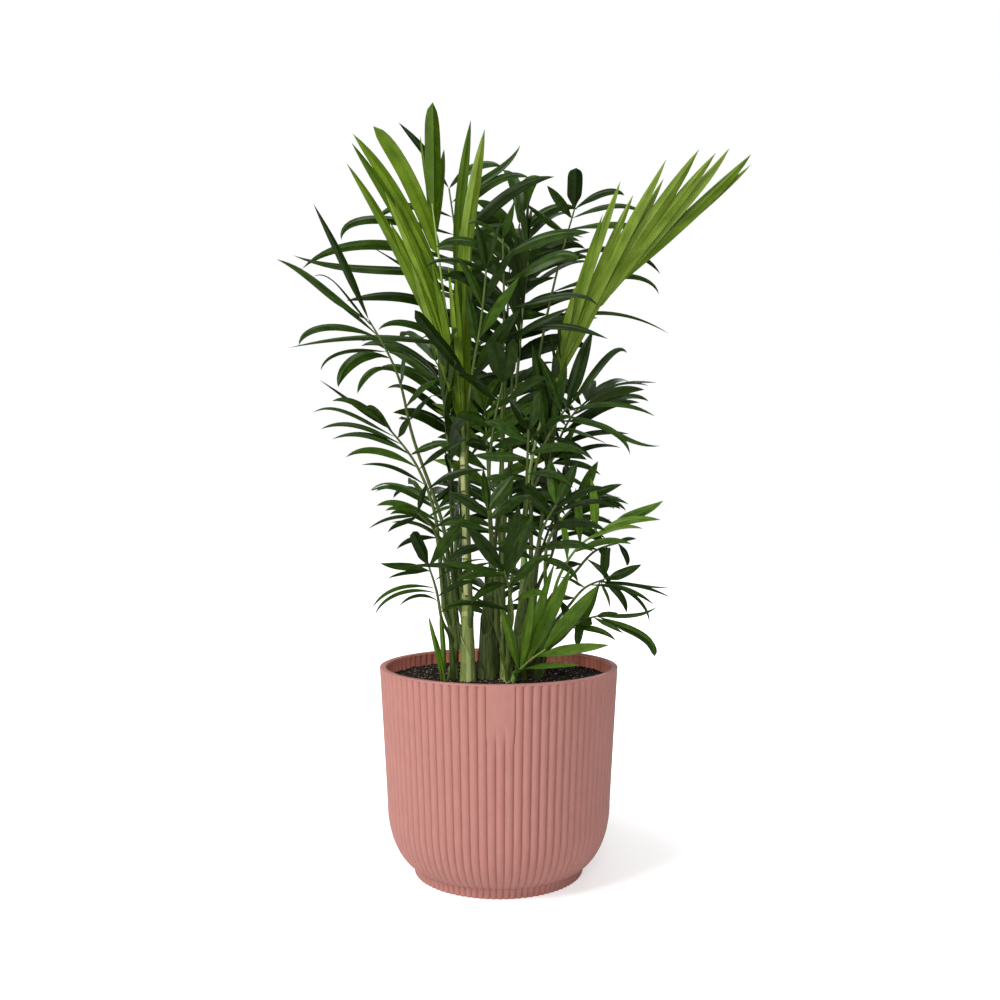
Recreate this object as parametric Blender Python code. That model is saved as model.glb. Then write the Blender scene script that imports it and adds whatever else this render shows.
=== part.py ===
"""A parlour palm growing in its fluted pot, as separate named solids.

Lengths are in metres, with +Z up. The origin is the centre of the pot's flat underside, and the
front, from which the plant is usually seen, is -Y. A frond's solid is its stalk and a thin blade
that reaches the tips of its leaflets.
"""

import math
from collections import namedtuple

import bmesh
import bpy
from mathutils import Vector
from mathutils.bvhtree import BVHTree

# Pot
POT_HEIGHT = 0.158
RIM_RADIUS = 0.0925
FOOT_RADIUS = 0.0655
FOOT_FLARE = 0.25
FOOT_HEIGHT = 0.008
CREASE_SOFTNESS = 0.007
BOWL_LEAST_RADIUS = 0.060
BOWL_TOP = 0.053
BOWL_RADIUS = 0.0862
BOWL_STEPS = 8
BOWL_CROWDING = 1.5
WALL = 0.005
FLOOR = 0.006
FLOOR_RADIUS = 0.059
RIM_ROUNDING = 0.0012
POT_SIDES = 48

# Soil
SOIL_TOP = 0.150
SOIL_EDGE_DROP = 0.002
SOIL_FLAT_RADIUS = 0.055
SOIL_SIDES = 24
SOIL_STEPS = 4

# Plant
GAP = 0.0003
STEM_SIDES = 10
STEM_STEPS = 6
LEAST_STEP = 0.001
STEM_LEAN_POWER = 1.4
SHEATH_TAPER = 0.12
SHEATH_FADE = 0.014
STALK_RADIUS = 0.0019
NECK_RADIUS = 0.0012
RIB_END_RADIUS = 0.0007
SHOULDER = 0.6
STALK_STEPS = 5
BLADE_ROWS = 7
HUG_LENGTH = 0.022
SHRINK = 0.85
LEAST_REACH = 0.06
LAST_PAIR = 0.95
MOST_TRIES = 40

RING_CORNERS = 6
FIRST_CAP_FACES = 4
FACES_PER_SPAN = 12
LEFT_WING_FACES = (0, 1, 10, 11)
RIGHT_WING_FACES = (4, 5, 6, 7)

SHARP_EDGE = 40
UP = Vector((0, 0, 1))

# A stem: where it meets the soil, where it is cut off above, its radius at the soil and at the
# top, and the height at which its wide sheath gives way to the bare cane.
Stem = namedtuple("Stem", "name foot_xy top foot_radius top_radius sheath")

STEMS = (
    Stem("stem_cane", (-0.023, -0.026), (-0.028, -0.009, 0.330), 0.0055, 0.0026, 0.190),
    Stem("stem_left", (-0.034, -0.016), (-0.039, -0.022, 0.222), 0.0031, 0.0024, 0.200),
    Stem("stem_middle", (-0.009, -0.013), (-0.006, -0.004, 0.230), 0.0066, 0.0030, 0.205),
    Stem("stem_slim", (0.004, -0.024), (0.003, -0.022, 0.210), 0.0026, 0.0020, 0.190),
    Stem("stem_front", (0.007, -0.034), (0.008, -0.038, 0.185), 0.0029, 0.0020, 0.172),
    Stem("stem_right", (0.017, -0.024), (0.019, -0.016, 0.235), 0.0042, 0.0027, 0.205),
    Stem("stem_right_outer", (0.028, -0.014), (0.036, -0.012, 0.195), 0.0034, 0.0022, 0.182),
    Stem("stem_back", (-0.002, 0.010), (0.002, 0.018, 0.240), 0.0045, 0.0028, 0.210),
    Stem("stem_back_left", (-0.024, 0.006), (-0.031, 0.018, 0.225), 0.0038, 0.0024, 0.200),
    Stem("stem_back_right", (0.018, 0.004), (0.026, 0.016, 0.230), 0.0040, 0.0026, 0.205),
    Stem("shoot_left", (-0.041, -0.028), (-0.052, -0.032, 0.203), 0.0026, 0.0008, 0.188),
)

# How a frond carries its leaflets: the angle from the rib at its neck, near its end and for the
# last pair, how far they are raised above the frond's plane (degrees), how far their tips sink
# (a share of their length), the length of the first and last ones as a share of the longest, and
# how far up the leafy rib the longest stand.
Kind = namedtuple("Kind", "open_neck open_end open_tip raised sink first last peak colour")

BRIGHT = (0.20, 0.34, 0.06)
FRESH = (0.12, 0.26, 0.03)
DARK = (0.03, 0.08, 0.015)

KINDS = {
    "closed": Kind(8, 13, 4, 50, 0.0, 0.9, 0.9, 0.4, BRIGHT),
    "opening": Kind(10, 44, 6, 55, 0.02, 1.0, 0.7, 0.4, BRIGHT),
    "fan": Kind(8, 14, 7, 38, 0.10, 1.25, 0.85, 0.4, BRIGHT),
    "young": Kind(66, 45, 22, 15, 0.03, 0.85, 0.85, 0.4, FRESH),
    "tall": Kind(82, 48, 30, 8, 0.10, 1.0, 0.5, 0.4, DARK),
    "reaching": Kind(88, 22, 14, 10, 0.08, 0.25, 0.99, 0.95, DARK),
    "slender": Kind(50, 30, 14, 8, 0.02, 0.8, 0.95, 0.5, DARK),
    "mature": Kind(70, 48, 14, 12, 0.10, 0.8, 0.85, 0.4, DARK),
    "low": Kind(72, 40, 16, 8, 0.18, 0.8, 0.8, 0.4, DARK),
}

# A frond: the height of its foot on its stem and the compass side there (None stands it on the
# stem's top), its neck, where the leaflets begin, the middle and the end of its leafy rib, the
# compass direction that its upper side faces, and its longest leaflet. Degrees, 0 is +X.
Frond = namedtuple("Frond", "name kind stem height side neck middle end faces leaf")

FRONDS = (
    Frond("frond_spear_left", "opening", "stem_cane", 0.330, None,
          (-0.030, -0.008, 0.352), (-0.042, -0.008, 0.440), (-0.052, -0.005, 0.518), 180, 0.112),
    Frond("frond_spear_centre", "closed", "stem_cane", 0.240, 70,
          (-0.027, 0.006, 0.345), (-0.030, 0.008, 0.429), (-0.029, 0.010, 0.500), 0, 0.098),
    Frond("frond_spear_right", "fan", "stem_right", 0.235, None,
          (0.038, 0.008, 0.362), (0.070, 0.014, 0.430), (0.122, 0.022, 0.492), 190, 0.128),
    Frond("frond_tall_left", "tall", "stem_back_left", 0.225, None,
          (-0.025, 0.034, 0.405), (-0.033, 0.045, 0.485), (-0.042, 0.056, 0.550), -90, 0.125),
    Frond("frond_tall_right", "tall", "stem_back_right", 0.230, None,
          (0.034, 0.038, 0.408), (0.048, 0.056, 0.475), (0.065, 0.070, 0.537), -75, 0.100),
    Frond("frond_front_left", "tall", "stem_cane", 0.200, -60,
          (-0.021, -0.028, 0.375), (-0.013, -0.042, 0.420), (-0.009, -0.055, 0.455), -90, 0.105),
    Frond("frond_centre_front", "mature", "stem_slim", 0.210, None,
          (0.003, -0.018, 0.380), (0.004, -0.030, 0.430), (0.003, -0.045, 0.480), -90, 0.072),
    Frond("frond_left", "reaching", "stem_left", 0.222, None,
          (-0.067, -0.022, 0.340), (-0.077, -0.026, 0.382), (-0.098, -0.030, 0.422), -70, 0.092),
    Frond("frond_left_low", "slender", "stem_left", 0.205, -140,
          (-0.050, -0.038, 0.285), (-0.062, -0.046, 0.314), (-0.080, -0.055, 0.338), -80, 0.070),
    Frond("frond_left_thin", "low", "stem_left", 0.175, -60,
          (-0.041, -0.045, 0.245), (-0.048, -0.056, 0.266), (-0.058, -0.066, 0.276), -60, 0.042),
    Frond("frond_left_lowest", "low", "stem_left", 0.158, -100,
          (-0.042, -0.050, 0.200), (-0.045, -0.058, 0.220), (-0.050, -0.066, 0.238), -80, 0.052),
    Frond("frond_right", "mature", "stem_right", 0.210, 20,
          (0.033, -0.012, 0.325), (0.042, -0.016, 0.342), (0.052, -0.020, 0.357), -90, 0.084),
    Frond("frond_centre", "mature", "stem_slim", 0.190, 180,
          (-0.006, -0.034, 0.325), (-0.002, -0.042, 0.350), (0.003, -0.050, 0.372), -90, 0.045),
    Frond("frond_right_upper", "mature", "stem_right", 0.190, 60,
          (0.026, 0.002, 0.292), (0.034, 0.006, 0.308), (0.044, 0.010, 0.320), -80, 0.052),
    Frond("frond_right_inner", "mature", "stem_right_outer", 0.195, None,
          (0.040, -0.008, 0.258), (0.050, -0.004, 0.272), (0.061, 0.000, 0.283), -80, 0.050),
    Frond("frond_right_bright", "young", "stem_right_outer", 0.178, -70,
          (0.047, -0.022, 0.230), (0.062, -0.024, 0.252), (0.083, -0.026, 0.265), -100, 0.048),
    Frond("frond_right_arching", "low", "stem_right_outer", 0.184, 100,
          (0.060, 0.014, 0.228), (0.078, 0.019, 0.246), (0.096, 0.022, 0.252), -100, 0.042),
    Frond("frond_right_low", "low", "stem_right_outer", 0.162, 25,
          (0.055, -0.002, 0.204), (0.068, 0.000, 0.218), (0.083, 0.003, 0.224), -110, 0.058),
    Frond("frond_right_lowest", "low", "stem_right_outer", 0.154, -25,
          (0.048, -0.028, 0.182), (0.060, -0.030, 0.194), (0.074, -0.032, 0.199), -120, 0.052),
    Frond("frond_front_young", "young", "stem_front", 0.153, -40,
          (0.015, -0.045, 0.160), (0.022, -0.052, 0.168), (0.034, -0.060, 0.178), -85, 0.072),
    Frond("frond_front_low", "mature", "stem_front", 0.165, -95,
          (0.010, -0.062, 0.202), (0.008, -0.074, 0.220), (0.004, -0.088, 0.236), -90, 0.060),
    Frond("frond_front_right", "mature", "stem_front", 0.172, 20,
          (0.026, -0.052, 0.242), (0.032, -0.068, 0.266), (0.040, -0.086, 0.282), -80, 0.050),
    Frond("frond_front_high", "mature", "stem_front", 0.185, None,
          (0.019, -0.064, 0.282), (0.020, -0.088, 0.312), (0.020, -0.116, 0.332), -90, 0.048),
    Frond("frond_front_centre", "mature", "stem_front", 0.174, 190,
          (-0.004, -0.052, 0.238), (-0.006, -0.072, 0.262), (-0.007, -0.094, 0.278), -95, 0.042),
    Frond("frond_back_top", "mature", "stem_back", 0.228, 0,
          (0.012, 0.058, 0.425), (0.014, 0.070, 0.478), (0.018, 0.084, 0.528), -90, 0.072),
    Frond("frond_back_high", "mature", "stem_back", 0.240, None,
          (0.006, 0.058, 0.400), (0.008, 0.088, 0.460), (0.010, 0.124, 0.500), -90, 0.100),
    Frond("frond_back_middle", "mature", "stem_back", 0.210, 150,
          (0.002, 0.056, 0.325), (0.002, 0.092, 0.372), (0.002, 0.132, 0.395), -90, 0.074),
    Frond("frond_back_left_high", "mature", "stem_back_left", 0.205, 120,
          (-0.034, 0.066, 0.340), (-0.046, 0.096, 0.390), (-0.058, 0.130, 0.415), -70, 0.088),
    Frond("frond_back_right_high", "mature", "stem_back_right", 0.210, 40,
          (0.044, 0.064, 0.318), (0.062, 0.092, 0.358), (0.080, 0.124, 0.378), -115, 0.082),
    Frond("frond_back_left_low", "low", "stem_back_left", 0.175, 170,
          (-0.044, 0.062, 0.250), (-0.054, 0.090, 0.282), (-0.068, 0.118, 0.292), -60, 0.070),
    Frond("frond_back_low", "low", "stem_back", 0.190, 60,
          (0.000, 0.066, 0.262), (0.000, 0.096, 0.290), (0.000, 0.130, 0.298), -90, 0.068),
    Frond("frond_back_right_low", "low", "stem_back_right", 0.175, 80,
          (0.036, 0.056, 0.245), (0.050, 0.084, 0.274), (0.064, 0.112, 0.282), -120, 0.068),
    Frond("frond_back_lowest", "low", "stem_back", 0.160, 120,
          (-0.008, 0.050, 0.190), (-0.010, 0.074, 0.208), (-0.012, 0.096, 0.212), -90, 0.050),
    Frond("frond_back_bright", "young", "stem_middle", 0.230, None,
          (-0.008, 0.020, 0.300), (-0.010, 0.036, 0.335), (-0.012, 0.056, 0.362), -90, 0.060),
    Frond("frond_side_right_top", "mature", "stem_back", 0.220, -80,
          (0.016, 0.022, 0.400), (0.020, 0.028, 0.445), (0.024, 0.034, 0.482), 180, 0.072),
    Frond("frond_side_right_high", "mature", "stem_back_right", 0.222, -60,
          (0.040, 0.024, 0.300), (0.046, 0.028, 0.345), (0.052, 0.032, 0.385), 180, 0.082),
    Frond("frond_side_right_low", "low", "stem_back_right", 0.190, -10,
          (0.044, 0.030, 0.245), (0.050, 0.034, 0.280), (0.056, 0.038, 0.308), 180, 0.062),
    Frond("frond_side_left_high", "mature", "stem_back_left", 0.210, 200,
          (-0.038, 0.012, 0.300), (-0.042, 0.014, 0.345), (-0.046, 0.016, 0.385), 0, 0.080),
    Frond("frond_side_left_low", "low", "stem_back_left", 0.190, -60,
          (-0.032, 0.000, 0.238), (-0.035, 0.001, 0.266), (-0.038, 0.002, 0.290), 0, 0.052),
    Frond("frond_side_left_lowest", "low", "stem_back_left", 0.168, -120,
          (-0.040, 0.006, 0.200), (-0.044, 0.007, 0.220), (-0.047, 0.008, 0.235), 0, 0.040),
)


def finish(name, colour, roughness):
    """A plain material of one colour."""
    material = bpy.data.materials.new(name)
    material.use_nodes = True
    shader = material.node_tree.nodes["Principled BSDF"]
    shader.inputs["Base Color"].default_value = (*colour, 1)
    shader.inputs["Roughness"].default_value = roughness
    return material


def add_object(name, points, faces, material, origin, parent=None):
    """An object of these faces, smooth shaded, with its own origin at the given place."""
    mesh = bpy.data.meshes.new(name)
    mesh.from_pydata([Vector(point) - origin for point in points], [], faces)
    shape = bmesh.new()
    shape.from_mesh(mesh)
    bmesh.ops.recalc_face_normals(shape, faces=shape.faces)
    shape.to_mesh(mesh)
    shape.free()
    mesh.shade_smooth()
    mesh.set_sharp_from_angle(angle=math.radians(SHARP_EDGE))
    mesh.materials.append(material)
    obj = bpy.data.objects.new(name, mesh)
    obj.location = origin
    obj.parent = parent
    bpy.context.collection.objects.link(obj)
    return obj


def circle(centre, radius, sides):
    """A level ring of points, anticlockwise from above."""
    turn = 2 * math.pi / sides
    return [
        Vector(centre) + Vector((radius * math.cos(turn * i), radius * math.sin(turn * i), 0))
        for i in range(sides)
    ]


def stack(rings):
    """Points and faces of a tube through rings of equal count, closed by a face at each end."""
    count = len(rings[0])
    points = [point for ring in rings for point in ring]
    faces = [tuple(reversed(range(count)))]
    for start in range(0, len(points) - count, count):
        for i in range(count):
            j = (i + 1) % count
            faces.append((start + i, start + j, start + count + j, start + count + i))
    faces.append(tuple(range(len(points) - count, len(points))))
    return points, faces


def pot_radius(height):
    """The pot's outer radius: a low foot that runs softly into a bowl, then an almost straight wall."""
    if height < BOWL_TOP:
        foot = FOOT_RADIUS - FOOT_FLARE * height
        below = min((BOWL_TOP - height) / (BOWL_TOP - FOOT_HEIGHT), 1)
        bowl = BOWL_LEAST_RADIUS + (BOWL_RADIUS - BOWL_LEAST_RADIUS) * math.sqrt(1 - below * below)
        softness = CREASE_SOFTNESS * below * min(height / FOOT_HEIGHT, 1)
        return (foot + bowl + math.hypot(foot - bowl, softness)) / 2
    share = (height - BOWL_TOP) / (POT_HEIGHT - BOWL_TOP)
    return BOWL_RADIUS + (RIM_RADIUS - BOWL_RADIUS) * share


def bowl_heights():
    """Heights up the bowl, closest together where it turns fastest."""
    return [
        FOOT_HEIGHT + (BOWL_TOP - FOOT_HEIGHT) * (step / BOWL_STEPS) ** BOWL_CROWDING
        for step in range(BOWL_STEPS + 1)
    ]


def make_pot():
    """A turned pot, open above, with a flat underside."""
    outside = [(pot_radius(0), 0.0)]
    outside += [(pot_radius(height), height) for height in bowl_heights()]
    outside.append((pot_radius(POT_HEIGHT - RIM_ROUNDING), POT_HEIGHT - RIM_ROUNDING))
    rim = [(RIM_RADIUS - RIM_ROUNDING, POT_HEIGHT), (RIM_RADIUS - WALL, POT_HEIGHT)]
    inside = [(pot_radius(height) - WALL, height) for height in reversed(bowl_heights()[1:])]
    profile = outside + rim + inside + [(FLOOR_RADIUS, FLOOR)]
    rings = [circle((0, 0, height), radius, POT_SIDES) for radius, height in profile]
    points, faces = stack(rings)
    add_object("pot", points, faces, finish("pink_plastic", (0.58, 0.27, 0.22), 0.6), Vector())
    return points, faces


def soil_height(radius):
    """The soil is level under the clump and sinks a little towards the wall."""
    share = max(0.0, (radius - SOIL_FLAT_RADIUS) / (RIM_RADIUS - WALL - SOIL_FLAT_RADIUS))
    return SOIL_TOP - SOIL_EDGE_DROP * share


def make_soil():
    """The soil fills the pot, clear of its wall and floor by the gap."""
    heights = bowl_heights()[1:]
    edge_radius = pot_radius(SOIL_TOP) - WALL - GAP
    profile = [(FLOOR_RADIUS - GAP, FLOOR + GAP)]
    profile += [(pot_radius(height) - WALL - GAP, height) for height in heights]
    profile.append((edge_radius, soil_height(edge_radius)))
    for step in range(1, SOIL_STEPS):
        radius = edge_radius * (1 - step / SOIL_STEPS)
        profile.append((radius, soil_height(radius)))
    # The soil's ring is turned to the pot's own corners, so that no flat side cuts the wall.
    shrink = math.cos(math.pi / POT_SIDES)
    rings = [circle((0, 0, height), radius * shrink, SOIL_SIDES) for radius, height in profile]
    points, faces = stack(rings)
    add_object("soil", points, faces, finish("soil", (0.03, 0.02, 0.015), 1.0), Vector())
    return points, faces


def stem_centre(stem, height):
    """The stem rises straight from the soil and leans more as it goes up."""
    foot = Vector((*stem.foot_xy, SOIL_TOP))
    share = (height - SOIL_TOP) / (stem.top[2] - SOIL_TOP)
    lean = (Vector(stem.top) - foot) * share**STEM_LEAN_POWER
    return Vector((foot.x + lean.x, foot.y + lean.y, height))


def stem_radius(stem, height):
    """Wide and slowly tapering in the sheath, then a slim cane."""
    within = (height - SOIL_TOP) / (stem.sheath - SOIL_TOP)
    sheath_radius = stem.foot_radius * (1 - SHEATH_TAPER * min(within, 1))
    fade = min(max((height - stem.sheath) / SHEATH_FADE, 0), 1)
    return sheath_radius + (stem.top_radius - sheath_radius) * fade


def make_stem(stem, material, parent):
    """A tapered tube, cut flat and level at the soil and at the top."""
    foot = SOIL_TOP + GAP
    fade_end = min(stem.sheath + SHEATH_FADE, stem.top[2])
    heights = [foot + (stem.sheath - foot) * i / 2 for i in range(3)]
    heights += [fade_end + (stem.top[2] - fade_end) * i / STEM_STEPS for i in range(STEM_STEPS + 1)]
    heights = [h for i, h in enumerate(heights) if i == 0 or h - heights[i - 1] > LEAST_STEP]
    rings = [circle(stem_centre(stem, h), stem_radius(stem, h), STEM_SIDES) for h in heights]
    points, faces = stack(rings)
    add_object(stem.name, points, faces, material, stem_centre(stem, foot), parent)
    return points, faces


def spine_of(frond):
    """The points that a frond's stalk and rib pass through: foot, hug, neck, middle, end."""
    stem = STEM_NAMED[frond.stem]
    neck = Vector(frond.neck)
    if frond.side is None:
        foot = stem_centre(stem, frond.height) + UP * GAP
        hug = foot + UP * min(HUG_LENGTH, (neck - foot).length / 3)
    else:
        away = Vector((math.cos(math.radians(frond.side)), math.sin(math.radians(frond.side)), 0))
        clear = away * (stem_radius(stem, frond.height) + STALK_RADIUS + GAP * 2)
        foot = stem_centre(stem, frond.height) + clear
        rise = min(HUG_LENGTH, (neck.z - frond.height) / 2)
        hug = stem_centre(stem, frond.height + rise) + clear
    return [foot, hug, neck, Vector(frond.middle), Vector(frond.end)]


def slopes(points):
    """The direction of a smooth curve at each of its points, by the length of the spans."""
    spans = [(b - a).length for a, b in zip(points, points[1:])]
    ways = [(b - a) / span for a, b, span in zip(points, points[1:], spans)]
    inner = [
        (ways[i] * spans[i + 1] + ways[i + 1] * spans[i]) / (spans[i] + spans[i + 1])
        for i in range(len(ways) - 1)
    ]
    return [ways[0], *inner, ways[-1] * 1.5 - inner[-1] * 0.5]


def on_curve(points, place):
    """The point and the direction of the smooth curve, where place 1.5 is half-way from point 1 to 2."""
    start = min(int(place), len(points) - 2)
    t = place - start
    ways = slopes(points)
    a, b = points[start], points[start + 1]
    span = (b - a).length
    first, second = ways[start] * span, ways[start + 1] * span
    point = (
        a * (2 * t**3 - 3 * t**2 + 1)
        + first * (t**3 - 2 * t**2 + t)
        + b * (3 * t**2 - 2 * t**3)
        + second * (t**3 - t**2)
    )
    way = (
        a * (6 * t**2 - 6 * t)
        + first * (3 * t**2 - 4 * t + 1)
        + b * (6 * t - 6 * t**2)
        + second * (3 * t**2 - 2 * t)
    )
    return point, way.normalized()


def axes(frond, along):
    """The directions across a frond and out of its upper side, where its rib runs along."""
    faces = Vector((math.cos(math.radians(frond.faces)), math.sin(math.radians(frond.faces)), 0))
    across = UP.cross(faces)
    across = (across - along * across.dot(along)).normalized()
    return across, across.cross(along)


def leaflet_reach(frond, share, side, along):
    """The vector from the rib to a leaflet's tip, a share of the way up the leafy rib."""
    kind = KINDS[frond.kind]
    across, upper = axes(frond, along)
    opening = math.radians(kind.open_neck + (kind.open_end - kind.open_neck) * share)
    if share > LAST_PAIR:
        opening = math.radians(kind.open_tip)
    raised = math.radians(kind.raised)
    if share < kind.peak:
        size = kind.first + (1 - kind.first) * share / kind.peak
    else:
        size = 1 + (kind.last - 1) * (share - kind.peak) / (1 - kind.peak)
    outwards = across * (side * math.cos(raised)) + upper * math.sin(raised)
    way = along * math.cos(opening) + outwards * math.sin(opening)
    return (way - UP * kind.sink) * (frond.leaf * size)


def frond_rings(frond, reach, swell=0.0):
    """Six-pointed rings up the stalk and blade. The first and fourth point are the two edges."""
    spine = spine_of(frond)
    rings = []
    for step in range(STALK_STEPS):
        place = 2 * step / STALK_STEPS
        centre, along = on_curve(spine, place)
        across, upper = axes(frond, along)
        radius = STALK_RADIUS + (NECK_RADIUS - STALK_RADIUS) * place / 2 + swell
        turns = [math.pi - math.tau * corner / RING_CORNERS for corner in range(RING_CORNERS)]
        rings.append([centre + (across * math.cos(a) + upper * math.sin(a)) * radius for a in turns])
    for row in range(BLADE_ROWS):
        share = row / (BLADE_ROWS - 1)
        centre, along = on_curve(spine, 2 + 2 * share)
        across, upper = axes(frond, along)
        radius = NECK_RADIUS + (RIB_END_RADIUS - NECK_RADIUS) * share + swell
        left = leaflet_reach(frond, share, -1, along) * reach[row][0]
        right = leaflet_reach(frond, share, 1, along) * reach[row][1]
        out = across * (SHOULDER * radius)
        rings.append([
            centre + left + left.normalized() * swell,
            centre - out + upper * radius,
            centre + out + upper * radius,
            centre + right + right.normalized() * swell,
            centre + out - upper * radius,
            centre - out - upper * radius,
        ])
    return rings


def frond_mesh(frond, reach, swell=0.0):
    """Points and triangles of a frond, with the upper and lower side of a wing cut alike."""
    rings = frond_rings(frond, reach, swell)
    points = [point for ring in rings for point in ring]
    faces = [(0, 5, 1), (1, 5, 4), (1, 4, 2), (2, 4, 3)]
    for ring in range(len(rings) - 1):
        a, b, c, d, e, f = range(RING_CORNERS * ring, RING_CORNERS * (ring + 1))
        u, v, w, x, y, z = range(RING_CORNERS * (ring + 1), RING_CORNERS * (ring + 2))
        faces += [(a, b, v), (a, v, u), (b, c, w), (b, w, v), (d, w, c), (d, x, w)]
        faces += [(d, e, y), (d, y, x), (e, f, z), (e, z, y), (a, z, f), (a, u, z)]
    last = len(points) - RING_CORNERS
    faces += [(last, last + 1, last + 5), (last + 1, last + 4, last + 5)]
    faces += [(last + 1, last + 2, last + 4), (last + 2, last + 3, last + 4)]
    return points, faces


def touched_sides(tree, others):
    """The rings and sides of the blade whose triangles meet another solid."""
    found = set()
    for other in others:
        for index, _ in tree.overlap(other):
            if index < FIRST_CAP_FACES:
                continue
            ring, triangle = divmod(index - FIRST_CAP_FACES, FACES_PER_SPAN)
            if triangle in LEFT_WING_FACES:
                found |= {(ring, 0), (ring + 1, 0)}
            elif triangle in RIGHT_WING_FACES:
                found |= {(ring, 1), (ring + 1, 1)}
    return found


def crossed_sides(tree, faces):
    """The lower ring and side of each pair of the blade's own spans that cross each other."""
    found = set()
    for first, second in tree.overlap(tree):
        if first >= second or first < FIRST_CAP_FACES or set(faces[first]) & set(faces[second]):
            continue
        ring, triangle = divmod(first - FIRST_CAP_FACES, FACES_PER_SPAN)
        if triangle in LEFT_WING_FACES:
            found.add((ring, 0))
        elif triangle in RIGHT_WING_FACES:
            found.add((ring, 1))
    return found


def settled_reach(frond, others):
    """How far each leaflet row reaches, drawn in until the blade meets neither the others nor itself."""
    reach = [[1.0, 1.0] for _ in range(BLADE_ROWS)]
    for _ in range(MOST_TRIES):
        points, faces = frond_mesh(frond, reach, GAP)
        tree = BVHTree.FromPolygons(points, faces)
        touched = touched_sides(tree, others) | crossed_sides(tree, faces)
        if not touched:
            break
        for ring, side in touched:
            row = ring - STALK_STEPS
            if 0 <= row < BLADE_ROWS:
                reach[row][side] = max(reach[row][side] * SHRINK, LEAST_REACH)
    return reach


def make_fronds(base_trees, parent):
    """Each blade keeps clear of pot, soil and stems, of every other rib and of the blades made before it."""
    bare = [[LEAST_REACH, LEAST_REACH]] * BLADE_ROWS
    trees = {f.name: BVHTree.FromPolygons(*frond_mesh(f, bare)) for f in FRONDS}
    for frond in FRONDS:
        others = base_trees + [tree for name, tree in trees.items() if name != frond.name]
        points, faces = frond_mesh(frond, settled_reach(frond, others))
        trees[frond.name] = BVHTree.FromPolygons(points, faces)
        material = finish(frond.name + "_green", KINDS[frond.kind].colour, 0.45)
        add_object(frond.name, points, faces, material, spine_of(frond)[0], parent)


def main():
    for obj in list(bpy.data.objects):
        bpy.data.objects.remove(obj)
    trees = [BVHTree.FromPolygons(*make_pot()), BVHTree.FromPolygons(*make_soil())]
    clump = bpy.data.objects.new("clump", None)
    bpy.context.collection.objects.link(clump)
    sheath = finish("stem_green", (0.25, 0.36, 0.10), 0.5)
    trees += [BVHTree.FromPolygons(*make_stem(stem, sheath, clump)) for stem in STEMS]
    make_fronds(trees, clump)


STEM_NAMED = {stem.name: stem for stem in STEMS}
main()
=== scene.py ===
"""Looks of the parlour palm and its fluted pot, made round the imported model.

Lengths are in metres, with +Z up, and the front, which the camera sees, is -Y. The stems and
fronds follow the tables and rules that the solids were made from.
"""

import math
from collections import namedtuple
from random import Random

import bpy
import numpy as np
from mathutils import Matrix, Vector, noise


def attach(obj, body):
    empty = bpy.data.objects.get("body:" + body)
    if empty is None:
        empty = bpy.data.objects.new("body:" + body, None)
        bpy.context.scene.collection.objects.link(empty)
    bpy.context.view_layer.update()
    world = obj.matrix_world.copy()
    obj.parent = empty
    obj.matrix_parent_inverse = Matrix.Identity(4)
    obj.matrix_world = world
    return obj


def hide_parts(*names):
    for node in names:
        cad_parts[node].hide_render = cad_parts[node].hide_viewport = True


# Pot. The rows of its foot are the way in from its edge, the height and the flutes' depth there.
POT_HEIGHT = 0.158
RIM_RADIUS = 0.0925
FOOT_RADIUS = 0.0655
FOOT_FLARE = 0.25
FOOT_HEIGHT = 0.008
FOOT_RECESS = 0.0015
FOOT_ROWS = ((0.0045, FOOT_RECESS, 0), (0.003, 0.0, 0), (0.0004, 0.0, 1))
FOOT_EDGE = (0.0003, 0.0004)
CREASE_SOFTNESS = 0.010
CREASE_SPAN = (0.0018, 0.014)
CREASE_ROWS = 11
BOWL_LEAST_RADIUS = 0.060
BOWL_TOP = 0.053
BOWL_RADIUS = 0.0862
BOWL_ROWS = 16
WALL = 0.005
WALL_ROWS = 14
FLOOR = 0.006
FLOOR_RADIUS = 0.05
LIP_ROUNDING = 0.0008
LIP_ROWS = 5
FLUTES = 88
FLUTE_TURN = math.radians(0.8)
FLUTE_DEPTH = 0.0017
FLUTE_ROUNDNESS = 0.8
FLUTE_PLACES = (-0.5, -0.45, -0.38, -0.28, -0.15, 0.0, 0.15, 0.28, 0.38, 0.45)
FLUTE_TOP = 0.1571
FLUTE_FADE = 0.0010
FADE_ROWS = 5
INNER_FADE_ROWS = 4
INNER_TOP = 0.1568
INNER_HEIGHTS = (0.150, 0.145, 0.12, 0.09, BOWL_TOP, 0.035, 0.02, 0.013)
INNER_CREST = 0.3
INNER_ROWS = 14
PANEL_FLUTES = 1.5
PANEL_EDGE = 0.02
PANEL_BOTTOM = 0.118
PANEL_FADE = 0.004
POT_OUTSIDE = ("pink_plastic", (0.385, 0.166, 0.140), (0.415, 0.183, 0.155))
# The inner wall is the same plastic, coloured lighter and more orange than the outer wall: painted light for
# the glow within the pot.
POT_INSIDE_PAINTED_LIGHT = ("pink_plastic_within_painted_light", (0.700, 0.235, 0.170), (0.740, 0.258, 0.190))

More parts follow.
